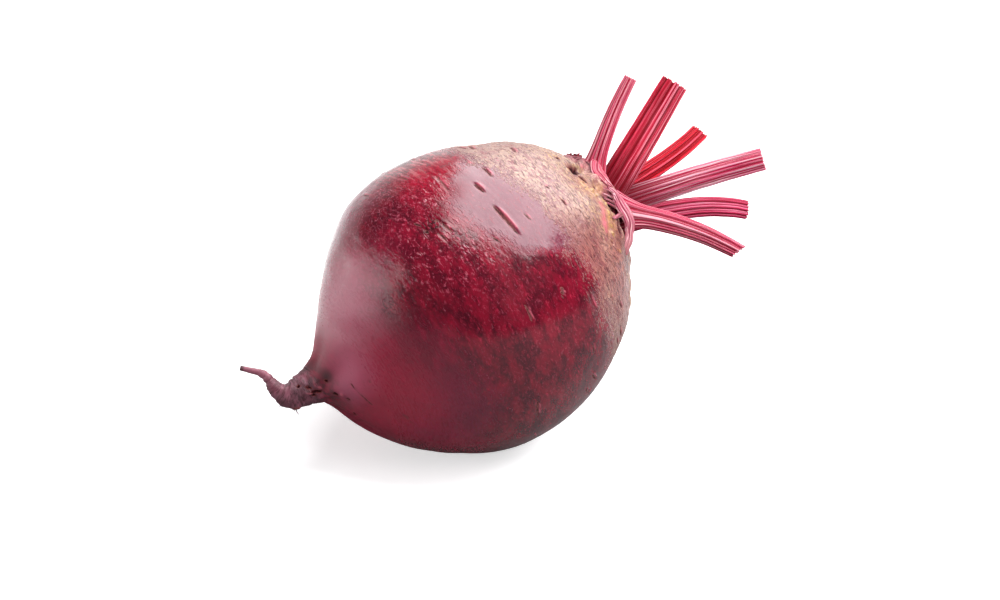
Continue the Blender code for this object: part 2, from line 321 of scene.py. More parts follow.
class Skin:
    """Points and faces of one mesh, with a place on the flat for each corner."""

    def __init__(self):
        self.points, self.faces, self.flat = [], [], []
        self.count = 0

    def rows(self, grid):
        """Adds a grid of points and gives their numbers."""
        height, width = grid.shape[:2]
        numbers = self.count + np.arange(height * width).reshape(height, width)
        self.points.append(grid.reshape(-1, 3))
        self.count += height * width
        return numbers

    def sheet(self, numbers, heights):
        """Faces over a grid that closes on itself sideways, with its rows at those heights on the flat."""
        columns = numbers.shape[1]
        for row in range(len(numbers) - 1):
            low, high = numbers[row], numbers[row + 1]
            for column in range(columns):
                after = (column + 1) % columns
                left, right = column / columns, (column + 1) / columns
                self.faces.append((low[column], low[after], high[after], high[column]))
                self.flat += ((left, heights[row]), (right, heights[row]),
                              (right, heights[row + 1]), (left, heights[row + 1]))

    def band(self, lower, upper, below, above):
        """Faces between two rows of points, where the upper one has a multiple of the lower one's."""
        count = len(lower)
        per_edge = len(upper) // count
        turn = (per_edge + 1) // 2
        for index in range(count):
            start, end = lower[index], lower[(index + 1) % count]
            over = [upper[(index * per_edge + step) % len(upper)] for step in range(per_edge + 1)]
            left, right = index / count, (index + 1) / count
            for step in range(per_edge):
                corner, side = (start, left) if step < turn else (end, right)
                here = left + step / len(upper)
                self.faces.append((corner, over[step + 1], over[step]))
                self.flat += ((side, below), (here + 1 / len(upper), above), (here, above))
            self.faces.append((start, end, over[turn]))
            self.flat += ((left, below), (right, below), (left + turn / len(upper), above))

    def cap(self, row, end, height, end_height, order):
        """A fan of faces from a row to one point."""
        count = len(row)
        for index in range(count):
            face = (row[index], row[(index + 1) % count], end)
            left, right, middle = index / count, (index + 1) / count, (index + 0.5) / count
            flat = ((left, height), (right, height), (middle, end_height))
            self.faces.append(face[::order])
            self.flat += flat[::order]

    def tube(self, grid, ends, heights, low, high):
        """A grid that closes on itself sideways, with a fan to one point at each end of it."""
        numbers = self.rows(grid)
        first, last = self.rows(np.array([ends]))[0]
        self.cap(numbers[0], first, heights[0], low, -1)
        self.sheet(numbers, heights)
        self.cap(numbers[-1], last, heights[-1], high, 1)


def lay_down(points):
    """Places in the root's frame, in mm, as places in the scene, in metres, inside the solids' own box."""
    turn = np.array(Euler((0.0, math.pi / 2 - AXIS_PITCH, ROLL), "ZYX").to_matrix())
    return np.clip((points @ turn.T + np.array(LIES_AT)) / 1000, *np.array(cad_box))


def stand(name, data):
    """A new object in the scene."""
    made = bpy.data.objects.new(name, data)
    bpy.context.scene.collection.objects.link(made)
    return made


def piece(name, skin, points, paint, values):
    """A mesh object that rides on the body, with its material and its values by point."""
    mesh = bpy.data.meshes.new(name)
    mesh.from_pydata(lay_down(points).tolist(), [], [tuple(int(n) for n in face) for face in skin.faces])
    flat = mesh.uv_layers.new(name="OFBake")
    flat.data.foreach_set("uv", np.array(skin.flat, np.float32).ravel())
    for label, numbers in values.items():
        attribute = mesh.attributes.new(label, "FLOAT_VECTOR", "POINT")
        attribute.data.foreach_set("vector", np.ascontiguousarray(numbers, np.float32).ravel())
    mesh.materials.append(paint)
    mesh.shade_smooth()
    made = stand(name, mesh)
    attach(made, "root")
    return made


def shared_relief(points):
    """How far the skin stands out of the smooth root, as on the solid."""
    x, y, z = points.T
    around = np.arctan2(y, x)
    lumps = field(points, LUMP_SIZE)
    height = LUMP_HEIGHT * lumps
    height += FLUTE_DEPTH * np.cos(FLUTES * around) * bell(z, FLUTE_HEIGHT, FLUTE_SPREAD)
    ribs = np.cos(SHOULDER_RIBS * around + 2 * lumps)
    height += SHOULDER_RIB_HEIGHT * ribs * bell(z, SHOULDER_HEIGHT, SHOULDER_SPREAD)
    out = np.hypot(x - CROWN_MIDDLE, y)
    turn = np.arctan2(y, x - CROWN_MIDDLE)
    ridge = 0.5 + 0.5 * np.cos(SCARS * (turn + SCAR_WANDER * field(points, 9.0)))
    pit = PIT_DEPTH * bell(out, PIT_RADIUS, PIT_WIDTH) * (1 - ridge)
    rim = RIM_HEIGHT * bell(out, RIM_RADIUS, RIM_WIDTH) * (0.4 + 0.6 * ridge)
    return height + (rim - pit) * ease(z, *CROWN_HEIGHTS)


def spot_on(height, around):
    """A place on the smooth globe, at a height and an angle around it."""
    positions = np.linspace(0, len(GLOBE) - 1, 800)
    values = through(GLOBE, positions)
    x, _, z, radius = values[np.argmin(np.abs(values[:, 2] - height))]
    return np.array([x + radius * math.cos(around), radius * math.sin(around), z])


def scattered_marks():
    """Cracks, scars of side roots and corky beads on every side, each at its own drawn place."""
    draw = random.Random(MARK_SEED)
    marks = []
    for _ in range(CRACKS):
        height = draw.uniform(-16, 31)
        around = draw.uniform(0, TAU)
        length = draw.uniform(0.03, 0.16)
        size = draw.uniform(0.22, 0.42)
        if CRACKS_SHOWN[0] < around < CRACKS_SHOWN[1]:
            length, size = length * 0.5, size * 0.8
        end = spot_on(height + draw.uniform(-1.2, 1.2), around + length)
        depth, lip = size * draw.uniform(0.5, 1.0), size * draw.uniform(0.2, 0.8)
        marks.append(crack(spot_on(height, around), end, size, depth, lip))
    for _ in range(SIDE_ROOTS):
        height = draw.uniform(-44, -24)
        around = draw.uniform(2.6, 6.6)
        size = draw.uniform(0.35, 0.8)
        start = spot_on(height, around)
        marks.append(hole(start, start + 0.2, size, size * 0.6, draw.uniform(0.4, 1.0)))
    row = np.array(CORK_ROW)
    for _ in range(CORK_ROW_BEADS):
        spot = through(row, np.array([draw.triangular(0, len(row) - 1.001, 3.6)]))[0]
        spot += [draw.gauss(0, 0.9), draw.gauss(0, 0.8), draw.gauss(0, 0.8)]
        marks.append(bead(spot, spot + [draw.uniform(-0.8, 0.8), 0, draw.uniform(-0.4, 0.4)],
                          draw.uniform(0.3, 0.75), draw.uniform(0.15, 0.5)))
    for _ in range(CORK_BEADS):
        around = draw.uniform(2.3, 7.0)
        height = draw.uniform(32.5, 38.5)
        marks.append(bead(spot_on(height, around), spot_on(height + draw.uniform(-0.5, 0.5), around + 0.12),
                          draw.uniform(0.5, 1.1), draw.uniform(0.2, 0.5)))
    return marks


def pressed(points, marks):
    """Height, darkness, corkiness and lip that the marks give each point."""
    height, dark, cork, lip = (np.zeros(len(points)) for _ in range(4))
    rough = field(points, 0.9, 3)
    for mark in marks:
        start, end = np.asarray(mark.start), np.asarray(mark.end)
        reach = np.linalg.norm(end - start) / 2 + 4 * mark.width + 0.6
        near = np.nonzero(((points - (start + end) / 2) ** 2).sum(1) < reach**2)[0]
        if len(near) == 0:
            continue
        run = end - start
        share = np.clip((points[near] - start) @ run / max(run @ run, 1e-9), 0, 1)
        line = start + share[:, None] * run
        away = np.linalg.norm(points[near] - line, axis=1)
        away = np.maximum(away + mark.ragged * mark.width * rough[near], 0)
        taper = 1 - 0.45 * (2 * share - 1) ** 2
        inside = bell(away, 0, mark.width * taper)
        above = ease(points[near, 2] - line[:, 2], 0, mark.width)
        raised = bell(away, 1.7 * mark.width, 0.9 * mark.width) * above * (1 - (2 * share - 1) ** 4)
        height[near] += mark.lip * raised - mark.depth * inside
        dark[near] = np.maximum(dark[near], mark.dark * inside)
        cork[near] = np.maximum(cork[near], mark.cork * inside)
        lip[near] = np.maximum(lip[near], raised * (mark.lip > 0) - mark.cork * inside)
    return height, np.minimum(dark, 1), cork, lip


def border(table, around):
    """Height of a border at angles round the root, in degrees."""
    return np.interp(around, *zip(*table), period=360)


def root_zones(points):
    """How much each point is of the corky shoulder, the pale patch below it, which is partly a painted
    highlight, and the smooth lower end.
    """
    x, y, z = points.T
    around = np.degrees(np.arctan2(y, x))
    front = bell(around, *SHOWN_SIDE)
    wander = BORDER_WANDER * (1 - 0.6 * front) * field(points, BORDER_WANDER_SIZE, 5)
    wander += BORDER_FRAY * field(points, BORDER_FRAY_SIZE, 6)
    shoulder = ease(z - border(SHOULDER_BORDER, around) - wander, -9, 8)
    pale = ease(z - border(PATCH_BORDER, around) - wander, -4, 4) * (0.4 + 0.6 * front)
    smooth = 1 - ease(z - border(SMOOTH_BORDER, around) - 1.5 * wander, -11, 9)
    return shoulder, pale, smooth


def crown_trench(points):
    """How much each point is in the trench inside the crown's corky rim, and on a strand along it."""
    x, y, z = points.T
    out = np.hypot(x - CROWN_MIDDLE, y)
    turn = np.arctan2(y, x - CROWN_MIDDLE)
    deep = np.maximum(bell(np.degrees(turn), *TRENCH_FRONT), 0.9 * ease(field(points, 8.0, 12), 0.0, 0.35))
    winding = TRENCH_RADIUS + 1.2 * field(points, 5.0, 13)
    trench = bell(out, winding, TRENCH_WIDTH) * ease(z, *TRENCH_HEIGHTS) * deep
    strand = creases(triples(0.75 * out, 4 * np.cos(turn), 4 * np.sin(turn)), 1.0, 14, 3.5)
    return np.clip(trench, 0, 1), np.clip(strand, 0, 1)


def fine_relief(points, run, shoulder, pale, smooth):
    """Relief too fine for the solids: a net round the middle, bark on the shoulder, folds on the tap root."""
    x, y, z = points.T
    around = triples(x, y, run)
    tail = 1 - ease(z, *TAP_ROOT_ENDS)
    net = creases(around, (3.4, 3.4, 1.25), 1, 2.6) + 0.5 * creases(around, (1.9, 1.9, 0.95), 2, 2.6)
    height = NET_HEIGHT * net * np.clip(1 - 1.1 * smooth, 0, 1) * (1 - tail) * (1 - 0.6 * pale)
    height += SWELLING_HEIGHT * field(points, 5.5, 4) * (1 - tail)

    streaks = field(triples(x * 0.9, y * 0.9, z * 0.12), 1.15, 7)
    folds = field(around, (3.0, 3.0, 1.1), 8)
    grain = field(points, 1.3, 16)
    height += (BARK_STREAK_HEIGHT * streaks + BARK_FOLD_HEIGHT * folds + BARK_GRAIN_HEIGHT * grain) * shoulder
    height += CROWN_KNOB_HEIGHT * field(points, (1.9, 1.9, 1.3), 17) * ease(z, 29, 35) * (1 - ease(z, 42, 44))
    trench, strand = crown_trench(points)
    height -= TRENCH_DEPTH * trench * (1 - 0.6 * strand)

    folds = creases(around, (4.2, 4.2, 0.95), 9, 2.4) + 0.5 * creases(around, (1.6, 1.6, 0.6), 18, 2.4)
    lumps = field(points, 2.2, 10)
    height += (TAP_ROOT_FOLD_HEIGHT * folds + TAP_ROOT_LUMP_HEIGHT * lumps) * ease(run, 1.5, 9) * tail
    return height


def root_skin():
    """The root's faces, its smooth points, their normals, and how far along the root each one is."""
    skin = Skin()
    tail = through(TAP_ROOT, rows_by_length(TAP_ROOT, TAP_ROOT_ROW))
    ahead = unit(np.gradient(tail[:, :3], axis=0))
    tail_grid = grid_around(tail[:-1, :3], ahead[:-1], tail[:-1, 3], TAP_ROOT_COLUMNS)
    globe = through(GLOBE, rows_by_length(GLOBE, GLOBE_ROW))[:-1]
    globe_grid = grid_around(globe[:, :3], np.tile(UP, (len(globe), 1)), globe[:, 3], GLOBE_COLUMNS)

    run_tail = TAP_ROOT_ROW * np.arange(len(tail_grid))
    run_globe = run_tail[-1] + TAP_ROOT_ROW + GLOBE_ROW * np.arange(len(globe_grid))
    end_run = run_globe[-1] + GLOBE_ROW
    tail_heights = FLAT_START + FLAT_LENGTH * run_tail / end_run
    globe_heights = FLAT_START + FLAT_LENGTH * run_globe / end_run

    tip, top = np.array(TAP_ROOT[0][:3]), np.array(GLOBE[-1][:3])
    low, high = skin.rows(tail_grid), skin.rows(globe_grid)
    first, last = skin.rows(np.array([[tip, top]]))[0]
    skin.cap(low[0], first, tail_heights[0], 0.0, -1)
    skin.sheet(low, tail_heights)
    skin.band(low[-1], high[0], tail_heights[-1], globe_heights[0])
    skin.sheet(high, globe_heights)
    skin.cap(high[-1], last, globe_heights[-1], 1.0, 1)

    normals = np.concatenate([
        normals_of(tail_grid).reshape(-1, 3), normals_of(globe_grid).reshape(-1, 3),
        unit(tip - tail[2, :3])[None], [UP],
    ])
    runs = np.repeat(run_tail, TAP_ROOT_COLUMNS), np.repeat(run_globe, GLOBE_COLUMNS), [0, end_run]
    return skin, np.concatenate(skin.points), normals, np.concatenate(runs)


def build_root(paint):
    skin, plain, normals, run = root_skin()
    shoulder, pale, smooth = root_zones(plain)
    based = plain + normals * shared_relief(plain)[:, None]
    marked, dark, cork, lip = pressed(based, list(MARKS) + scattered_marks())
    height = fine_relief(plain, run, shoulder, pale, smooth) + marked
    around = np.arctan2(plain[:, 1], plain[:, 0])
    values = {
        "place": based,
        "turn": triples(np.cos(around), np.sin(around), run),
        "zones": triples(shoulder, pale, smooth),
        "marks": triples(dark, cork, lip),
        "crown": triples(*crown_trench(plain), 0.0),
    }
    root = piece("beet_root", skin, based + normals * height[:, None], paint, values)
    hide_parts("root")


class Stalk(NamedTuple):
    """One leaf stalk or stub, cut off. Faces is the way its ribbed back looks, in degrees round the root."""

    name: str
    foot: tuple
    middle: tuple
    tip: tuple
    foot_width: float
    width: float
    tip_width: float
    thickness: float
    faces: float
    slant: float
    ribs: int
    slot: str
    finish: str


STALKS = (
    Stalk("stalk_upper", (9.0, 7.2, 42.8), (18.0, 10.4, 53.8), (25.0, 14.0, 64.6),
          8.0, 4.9, 3.2, 2.6, 66, 0.0, 7, "stalk", "stalk_rose"),
    Stalk("stalk_broad", (2.0, 2.7, 43.4), (10.4, 4.2, 61.0), (18.0, 6.5, 76.6),
          8.2, 8.7, 7.0, 4.8, 84, 0.0, 9, "stalk", "stalk_crimson"),
    Stalk("stalk_far", (4.4, -8.4, 43.0), (2.3, -13.0, 63.8), (3.9, -19.0, 84.2),
          5.6, 5.6, 5.0, 3.6, -70, -0.35, 8, "stalk", "stalk_scarlet"),
    Stalk("stalk_middle", (0.7, -3.5, 43.6), (-5.3, 0.0, 66.6), (-11.6, 6.0, 85.9),
          6.0, 7.0, 6.0, 4.2, 115, 0.0, 9, "stalk", "stalk_pink"),
    Stalk("stalk_low", (-4.2, -8.2, 42.4), (-10.9, -11.8, 65.6), (-20.8, -15.5, 82.0),
          5.6, 6.4, 5.4, 3.8, 252, 0.0, 8, "stalk", "stalk_ruby"),
    Stalk("stalk_front", (-2.2, 9.1, 42.4), (-14.0, 13.3, 53.9), (-27.9, 17.0, 62.2),
          12.4, 6.4, 4.1, 3.4, 98, -0.4, 8, "stalk", "stalk_blush"),
    Stalk("stub_rim", (13.0, -4.0, 41.0), (14.9, -4.6, 43.5), (16.8, -5.2, 45.9),
          6.0, 5.6, 4.6, 3.0, 80, 0.3, 6, "stub", "stub_dull"),
    Stalk("stub_back", (-0.2, -11.4, 41.0), (-0.4, -13.1, 44.0), (-0.6, -14.8, 47.0),
          6.0, 5.0, 4.6, 2.6, 265, -0.3, 6, "stub", "stub_dull"),
    Stalk("stub_low", (-5.0, 0.6, 43.2), (-5.9, 0.7, 46.0), (-6.8, 0.8, 48.6),
          5.6, 4.8, 4.4, 2.6, 180, 0.3, 6, "stub", "stub_dull"),
)
STALK_COLUMNS = 144
STALK_ROW = 0.45
RIB_HEIGHT = 0.20
CHANNEL_DEPTH = 0.36
WOBBLE = 0.10
FOOT_THINNING = 0.80
FOOT_LENGTH = 9.0
TIP_LENGTH = 3.0
TIP_JAGS = 0.5

# The rings that close a cut: their size beside the stalk's last one, and how far they lie inside it
CUT_ROWS = ((0.97, -0.10), (0.88, 0.06), (0.74, 0.22), (0.55, 0.30), (0.35, 0.34), (0.15, 0.36))


def rib_pattern(angles, ribs, seed):
    """How far a stalk's uneven ribs stand out at each angle round it, 0 in a groove to 1 on a crest."""
    ring = triples(np.cos(angles), np.sin(angles), seed * 3.7)
    turned = angles + 0.9 / ribs * field(ring, 0.45, seed)
    main = 0.5 + 0.5 * np.cos(ribs * turned)
    small = 0.5 + 0.5 * np.cos((2 * ribs + 1) * turned + seed)
    height = 0.75 + 0.6 * field(ring, 0.45, seed + 1)
    return np.clip(0.42 * main + height * 0.72 * small**1.5, 0, 1.3)


def stalk_section(stalk, share, foot, angles, crest):
    """Places across and out of a stalk's middle line, for each row along it and each angle round it."""
    half_width = 0.5 * (stalk.width + (stalk.tip_width - stalk.width) * share)
    half_width += 0.5 * (stalk.foot_width - stalk.width) * foot
    half_thickness = 0.5 * stalk.thickness * (1 - foot + FOOT_THINNING * foot)
    proud = RIB_HEIGHT * (2.4 * crest - 1.4)
    across = (half_width + proud) * np.cos(angles)
    out = (half_thickness + proud) * np.sin(angles)
    hollow = CHANNEL_DEPTH * half_thickness * np.sin(angles) ** 2
    return across, np.where(np.sin(angles) < 0, out + hollow, out)


def build_stalk(stalk, seed, paint):
    start, middle, tip = (np.array(place) for place in (stalk.foot, stalk.middle, stalk.tip))
    reach = np.linalg.norm(tip - start)
    rows = max(10, int(reach / STALK_ROW)) + 1
    knee = middle * 2 - (start + tip) / 2
    share = np.linspace(0, 1, rows)[:, None]
    centres = start * (1 - share) ** 2 + knee * (2 * share * (1 - share)) + tip * share**2
    along = unit((knee - start) * (1 - share) + (tip - knee) * share)
    faces = math.radians(stalk.faces)
    side = unit(np.cross(along, np.array([math.cos(faces), math.sin(faces), 0.0])))
    back = np.cross(side, along)

    run = share[:, 0] * reach
    foot = np.maximum(0, 1 - share * reach / FOOT_LENGTH) ** 2
    angles = TAU * np.arange(STALK_COLUMNS) / STALK_COLUMNS
    crest = rib_pattern(angles, stalk.ribs, seed)
    across, out = stalk_section(stalk, share, foot, angles, crest)
    wobble = WOBBLE * field(triples(run, seed, 0.0), 6.0, seed)
    aside = across + wobble[:, None]
    grid = centres[:, None] + side[:, None] * aside[..., None] + back[:, None] * out[..., None]
    jags = TIP_JAGS * np.abs(field(triples(np.cos(angles), np.sin(angles), seed), 0.28, seed + 2))
    shift = stalk.slant * (across - across.mean(1, keepdims=True)) - jags + 0.5 * (crest - 0.6)
    grid += along[:, None] * (shift * ease(run, reach - TIP_LENGTH, reach)[:, None])[..., None]

    centre = grid[-1].mean(0)
    cut = np.array([centre + (grid[-1] - centre) * size - along[-1] * sink for size, sink in CUT_ROWS])
    steps = np.arange(1, len(cut) + 1) / len(cut)
    heights = np.concatenate([0.02 + 0.90 * share[:, 0], 0.925 + 0.06 * steps])
    skin = Skin()
    ends = grid[0].mean(0), centre - along[-1] * CUT_ROWS[-1][1]
    skin.tube(np.concatenate([grid, cut]), ends, heights, 0.0, 1.0)

    run = np.concatenate([run, np.full(len(cut), reach)])[:, None]
    is_cut = np.concatenate([np.zeros(rows), np.linspace(0.4, 1, len(cut))])[:, None]
    grain = triples(across.mean(0), out.mean(0), run)
    grain[rows:, :, 0] = (cut - centre) @ side[-1]
    grain[rows:, :, 1] = (cut - centre) @ back[-1]
    parts = triples(crest, run / reach, is_cut)
    values = {
        "grain": np.concatenate([grain.reshape(-1, 3), [[0, 0, 0], [0, 0, reach]]]) + [seed * 7.0, 0, 0],
        "parts": np.concatenate([parts.reshape(-1, 3), [[0, 0, 0], [0, 1, 1]]]),
    }
    made = piece("beet_" + stalk.name, skin, np.concatenate(skin.points), paint, values)
    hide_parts(stalk.name)


# The sheath below the front stalk, the strands that run down from it over the trench, and the sheath below
# the upper stalk, as places with their half widths and half thicknesses: x, y, z, width, thickness
FRONT_SHEATH = (
    (4.4, 13.6, 43.3, 0.35, 0.30), (2.5, 13.5, 43.9, 1.0, 0.45), (0.5, 13.3, 43.8, 1.6, 0.55),
    (-1.8, 13.0, 43.7, 1.9, 0.65), (-4.0, 12.7, 43.7, 1.9, 0.70), (-6.3, 12.3, 43.3, 1.7, 0.65),
    (-8.2, 12.2, 42.0, 1.35, 0.48), (-10.0, 13.0, 40.3, 1.2, 0.38), (-11.0, 15.4, 38.2, 1.0, 0.32),
    (-12.0, 17.2, 36.7, 0.75, 0.25), (-12.8, 17.6, 35.6, 0.25, 0.15),
)
THIN_STRANDS = (
    ((4.7, 14.0, 42.0), (3.6, 14.1, 42.9), (2.0, 13.6, 43.7)),
    ((3.6, 14.3, 41.1), (2.5, 14.4, 42.0), (1.0, 13.8, 42.9)),
    ((2.5, 14.7, 40.5), (1.5, 14.7, 41.3), (0.1, 14.0, 42.2)),
    ((1.4, 15.3, 40.1), (0.5, 15.0, 40.8), (-1.1, 14.0, 41.9)),
)
THIN_STRAND_SIZES = ((0.16, 0.16), (0.27, 0.24), (0.36, 0.3))
WIDE_STRAND = ((-3.0, 18.6, 38.3, 0.40, 0.30), (-3.2, 16.6, 40.2, 0.50, 0.36), (-3.4, 13.6, 42.4, 0.8, 0.4))
UPPER_SHEATH = (
    (11.6, 8.0, 46.6, 1.2, 0.3), (10.7, 10.0, 45.0, 1.9, 0.6), (9.4, 11.7, 43.9, 1.9, 0.6),
    (7.6, 12.6, 43.9, 1.5, 0.55), (5.7, 13.1, 44.0, 1.0, 0.45), (3.9, 13.1, 44.4, 0.35, 0.3),
)
SHEATH_FACES = (0.0, 0.93, 0.37)
SHEATH_COLUMNS = 64
SHEATH_RIBS = 6
ROOTLET_SIZES = ((0.16, 0.16), (0.10, 0.10), (0.04, 0.04))
ROOTLETS = 9
ROOTLET_SEED = 5


def sized(places, sizes):
    """A strand's table from its places and its half widths and half thicknesses."""
    return tuple((*place, *size) for place, size in zip(places, sizes))


def build_strands(name, tables, faces, paint):
    """Flat or thin strands through tables of places, half widths and half thicknesses, as one piece."""
    skin, grains, parts = Skin(), [], []
    angles = TAU * np.arange(SHEATH_COLUMNS) / SHEATH_COLUMNS
    for number, table in enumerate(tables):
        rows = max(8, 9 * len(table))
        values = through(table, np.linspace(0, len(table) - 1, rows))
        centres, along = values[:, :3], unit(np.gradient(values[:, :3], axis=0))
        side = unit(np.cross(along, np.array(faces)))
        back = np.cross(side, along)
        crest = rib_pattern(angles, SHEATH_RIBS, number + 3)
        across = values[:, 3:4] * np.cos(angles)
        out = values[:, 4:5] * np.sin(angles) * (0.85 + 0.3 * crest)
        grid = centres[:, None] + side[:, None] * across[..., None] + back[:, None] * out[..., None]
        ends = centres[0] - 0.1 * along[0], centres[-1] + 0.1 * along[-1]
        heights = (number + 0.05 + 0.9 * np.linspace(0, 1, rows)) / len(tables)
        skin.tube(grid, ends, heights, number / len(tables), (number + 1) / len(tables))
        run = np.concatenate([[0], np.cumsum(np.linalg.norm(np.diff(centres, axis=0), axis=1))])[:, None]
        grains += [triples(across + 3.1 * number, out, run).reshape(-1, 3), [[0, 0, 0], [0, 0, run[-1, 0]]]]
        parts += [triples(crest, 1 - run / run[-1], 0.0).reshape(-1, 3), [[0.5, 1, 0], [0.5, 0, 0]]]
    values = {"grain": np.concatenate(grains), "parts": np.concatenate(parts)}
    piece(name, skin, np.concatenate(skin.points), paint, values)


def rootlet_tables():
    """Short fine roots at the low side of the tap root's bend, each at its own drawn place."""
    draw = random.Random(ROOTLET_SEED)
    tables = []
    for _ in range(ROOTLETS):
        *spot, radius = through(TAP_ROOT, np.array([draw.uniform(4.4, 8.4)]))[0]
        turn = math.radians(draw.uniform(95, 230))
        way = np.array([math.cos(turn), math.sin(turn), draw.uniform(-0.5, 0.3)])
        start = spot + way * (radius - 0.4)
        bend = np.array([draw.uniform(-0.7, 0.7) for _ in range(3)])
        length = draw.uniform(0.7, 1.7)
        tables.append(sized((start, start + way * length * 0.6 + 0.3 * bend, start + way * length + bend),
                            ROOTLET_SIZES))
    return tables


def rgb(red, green, blue):
    """A display colour, 0 to 255, as the shader's linear one."""
    parts = []
    for part in (red, green, blue):
        share = part / 255
        parts.append(share / 12.92 if share <= 0.04045 else ((share + 0.055) / 1.055) ** 2.4)
    return (*parts, 1.0)


WHITE = (1.0, 1.0, 1.0, 1.0)
BLACK = (0.0, 0.0, 0.0, 1.0)


class Nodes:
    """Puts nodes into a tree and wires them up."""

    def __init__(self, tree):
        self.tree = tree

    def wire(self, node, inputs):
        for key, value in inputs.items():
            if isinstance(value, bpy.types.NodeSocket):
                self.tree.links.new(value, node.inputs[key])
            else:
                node.inputs[key].default_value = value

    def node(self, kind, inputs, output=0, **settings):
        node = self.tree.nodes.new("ShaderNode" + kind)
        for name, value in settings.items():
            setattr(node, name, value)
        self.wire(node, inputs)
        return node.outputs[output]

    def vector(self, kind, first, second):
        return self.node("VectorMath", {0: first, 1: second}, "Value", operation=kind)

    def math(self, kind, first, second=0.0):
        return self.node("Math", {0: first, 1: second}, operation=kind)

    def chain(self, kind, values):
        made = values[0]
        for value in values[1:]:
            made = self.math(kind, made, value)
        return made

    def times(self, *values):
        return self.chain("MULTIPLY", values)

    def total(self, *values):
        return self.chain("ADD", values)

    def most(self, *values):
        return self.chain("MAXIMUM", values)


class Paint(Nodes):
    """The nodes of one material."""

    def __init__(self, name):
        self.made = bpy.data.materials.new(name)
        self.made.use_nodes = True
        super().__init__(self.made.node_tree)

    def attribute(self, name):
        return self.node("Attribute", {}, "Vector", attribute_name=name)

    def parts(self, vector):
        node = self.tree.nodes.new("ShaderNodeSeparateXYZ")
        self.tree.links.new(vector, node.inputs[0])
        return node.outputs

    def join(self, x, y, z):
        return self.node("CombineXYZ", {0: x, 1: y, 2: z})

    def stretch(self, vector, scale, shift=(0.0, 0.0, 0.0)):
        return self.node("Mapping", {"Vector": vector, "Scale": scale, "Location": shift})

    def noise(self, vector, scale, detail, rough=0.5):
        inputs = {"Vector": vector, "Scale": scale, "Detail": detail, "Roughness": rough}
        return self.node("TexNoise", inputs)

    def grain(self, vector, scale, detail, rough=0.5, shift=(0.0, 0.0, 0.0)):
        """Noise whose scale differs along x, y and z."""
        return self.noise(self.stretch(vector, scale, shift), 1.0, detail, rough)

    def warp(self, vector, amount, scale):
        """The same places, each pushed about by smooth noise."""
        push = self.node("TexNoise", {"Vector": vector, "Scale": scale, "Detail": 2.0}, "Color")
        return self.node("VectorMath", {0: push, 1: (amount,) * 3, 2: vector}, operation="MULTIPLY_ADD")

    def cells(self, vector, scale=1.0, feature="F1", output="Distance"):
        return self.node("TexVoronoi", {"Vector": vector, "Scale": scale}, output, feature=feature)

    def centred(self, pattern, size):
        """A pattern of 0 to 1 as one about 0, from half of size below it to half above."""
        return self.total(self.times(pattern, size), -size / 2)

    def off_middle(self, pattern):
        """How far a pattern of 0 to 1 is from its middle, which is 0 along winding lines."""
        return self.math("ABSOLUTE", self.total(pattern, -0.5))

    def step(self, value, low, high, to_low=0.0, to_high=1.0):
        """A smooth step from to_low, where the value is low, to to_high, where it is high."""
        inputs = {"Value": value, "From Min": low, "From Max": high, "To Min": to_low, "To Max": to_high}
        return self.node("MapRange", inputs, interpolation_type="SMOOTHSTEP")

    def mix(self, share, under, over, kind="MIX"):
        return self.node("Mix", {0: share, 6: under, 7: over}, 2, data_type="RGBA", blend_type=kind)

    def between(self, pattern, low, high, under, over):
        """One colour where a pattern is low, another where it is high."""
        return self.mix(self.step(pattern, low, high), under, over)

    def layers(self, colour, *rows):
        """Colours laid over one another. A row is a colour, then the shares whose product shows of it."""
        for over, *shares in rows:
            colour = self.mix(self.times(*shares), colour, over)
        return colour

    def finish(self, inputs, relief, depth, strength):
        """Wires up the shader, with a relief of that depth in metres, and gives the material."""
        normal = self.node("Bump", {"Height": relief, "Distance": depth, "Strength": strength})
        self.wire(self.tree.nodes["Principled BSDF"], {**inputs, "Normal": normal})
        return self.made


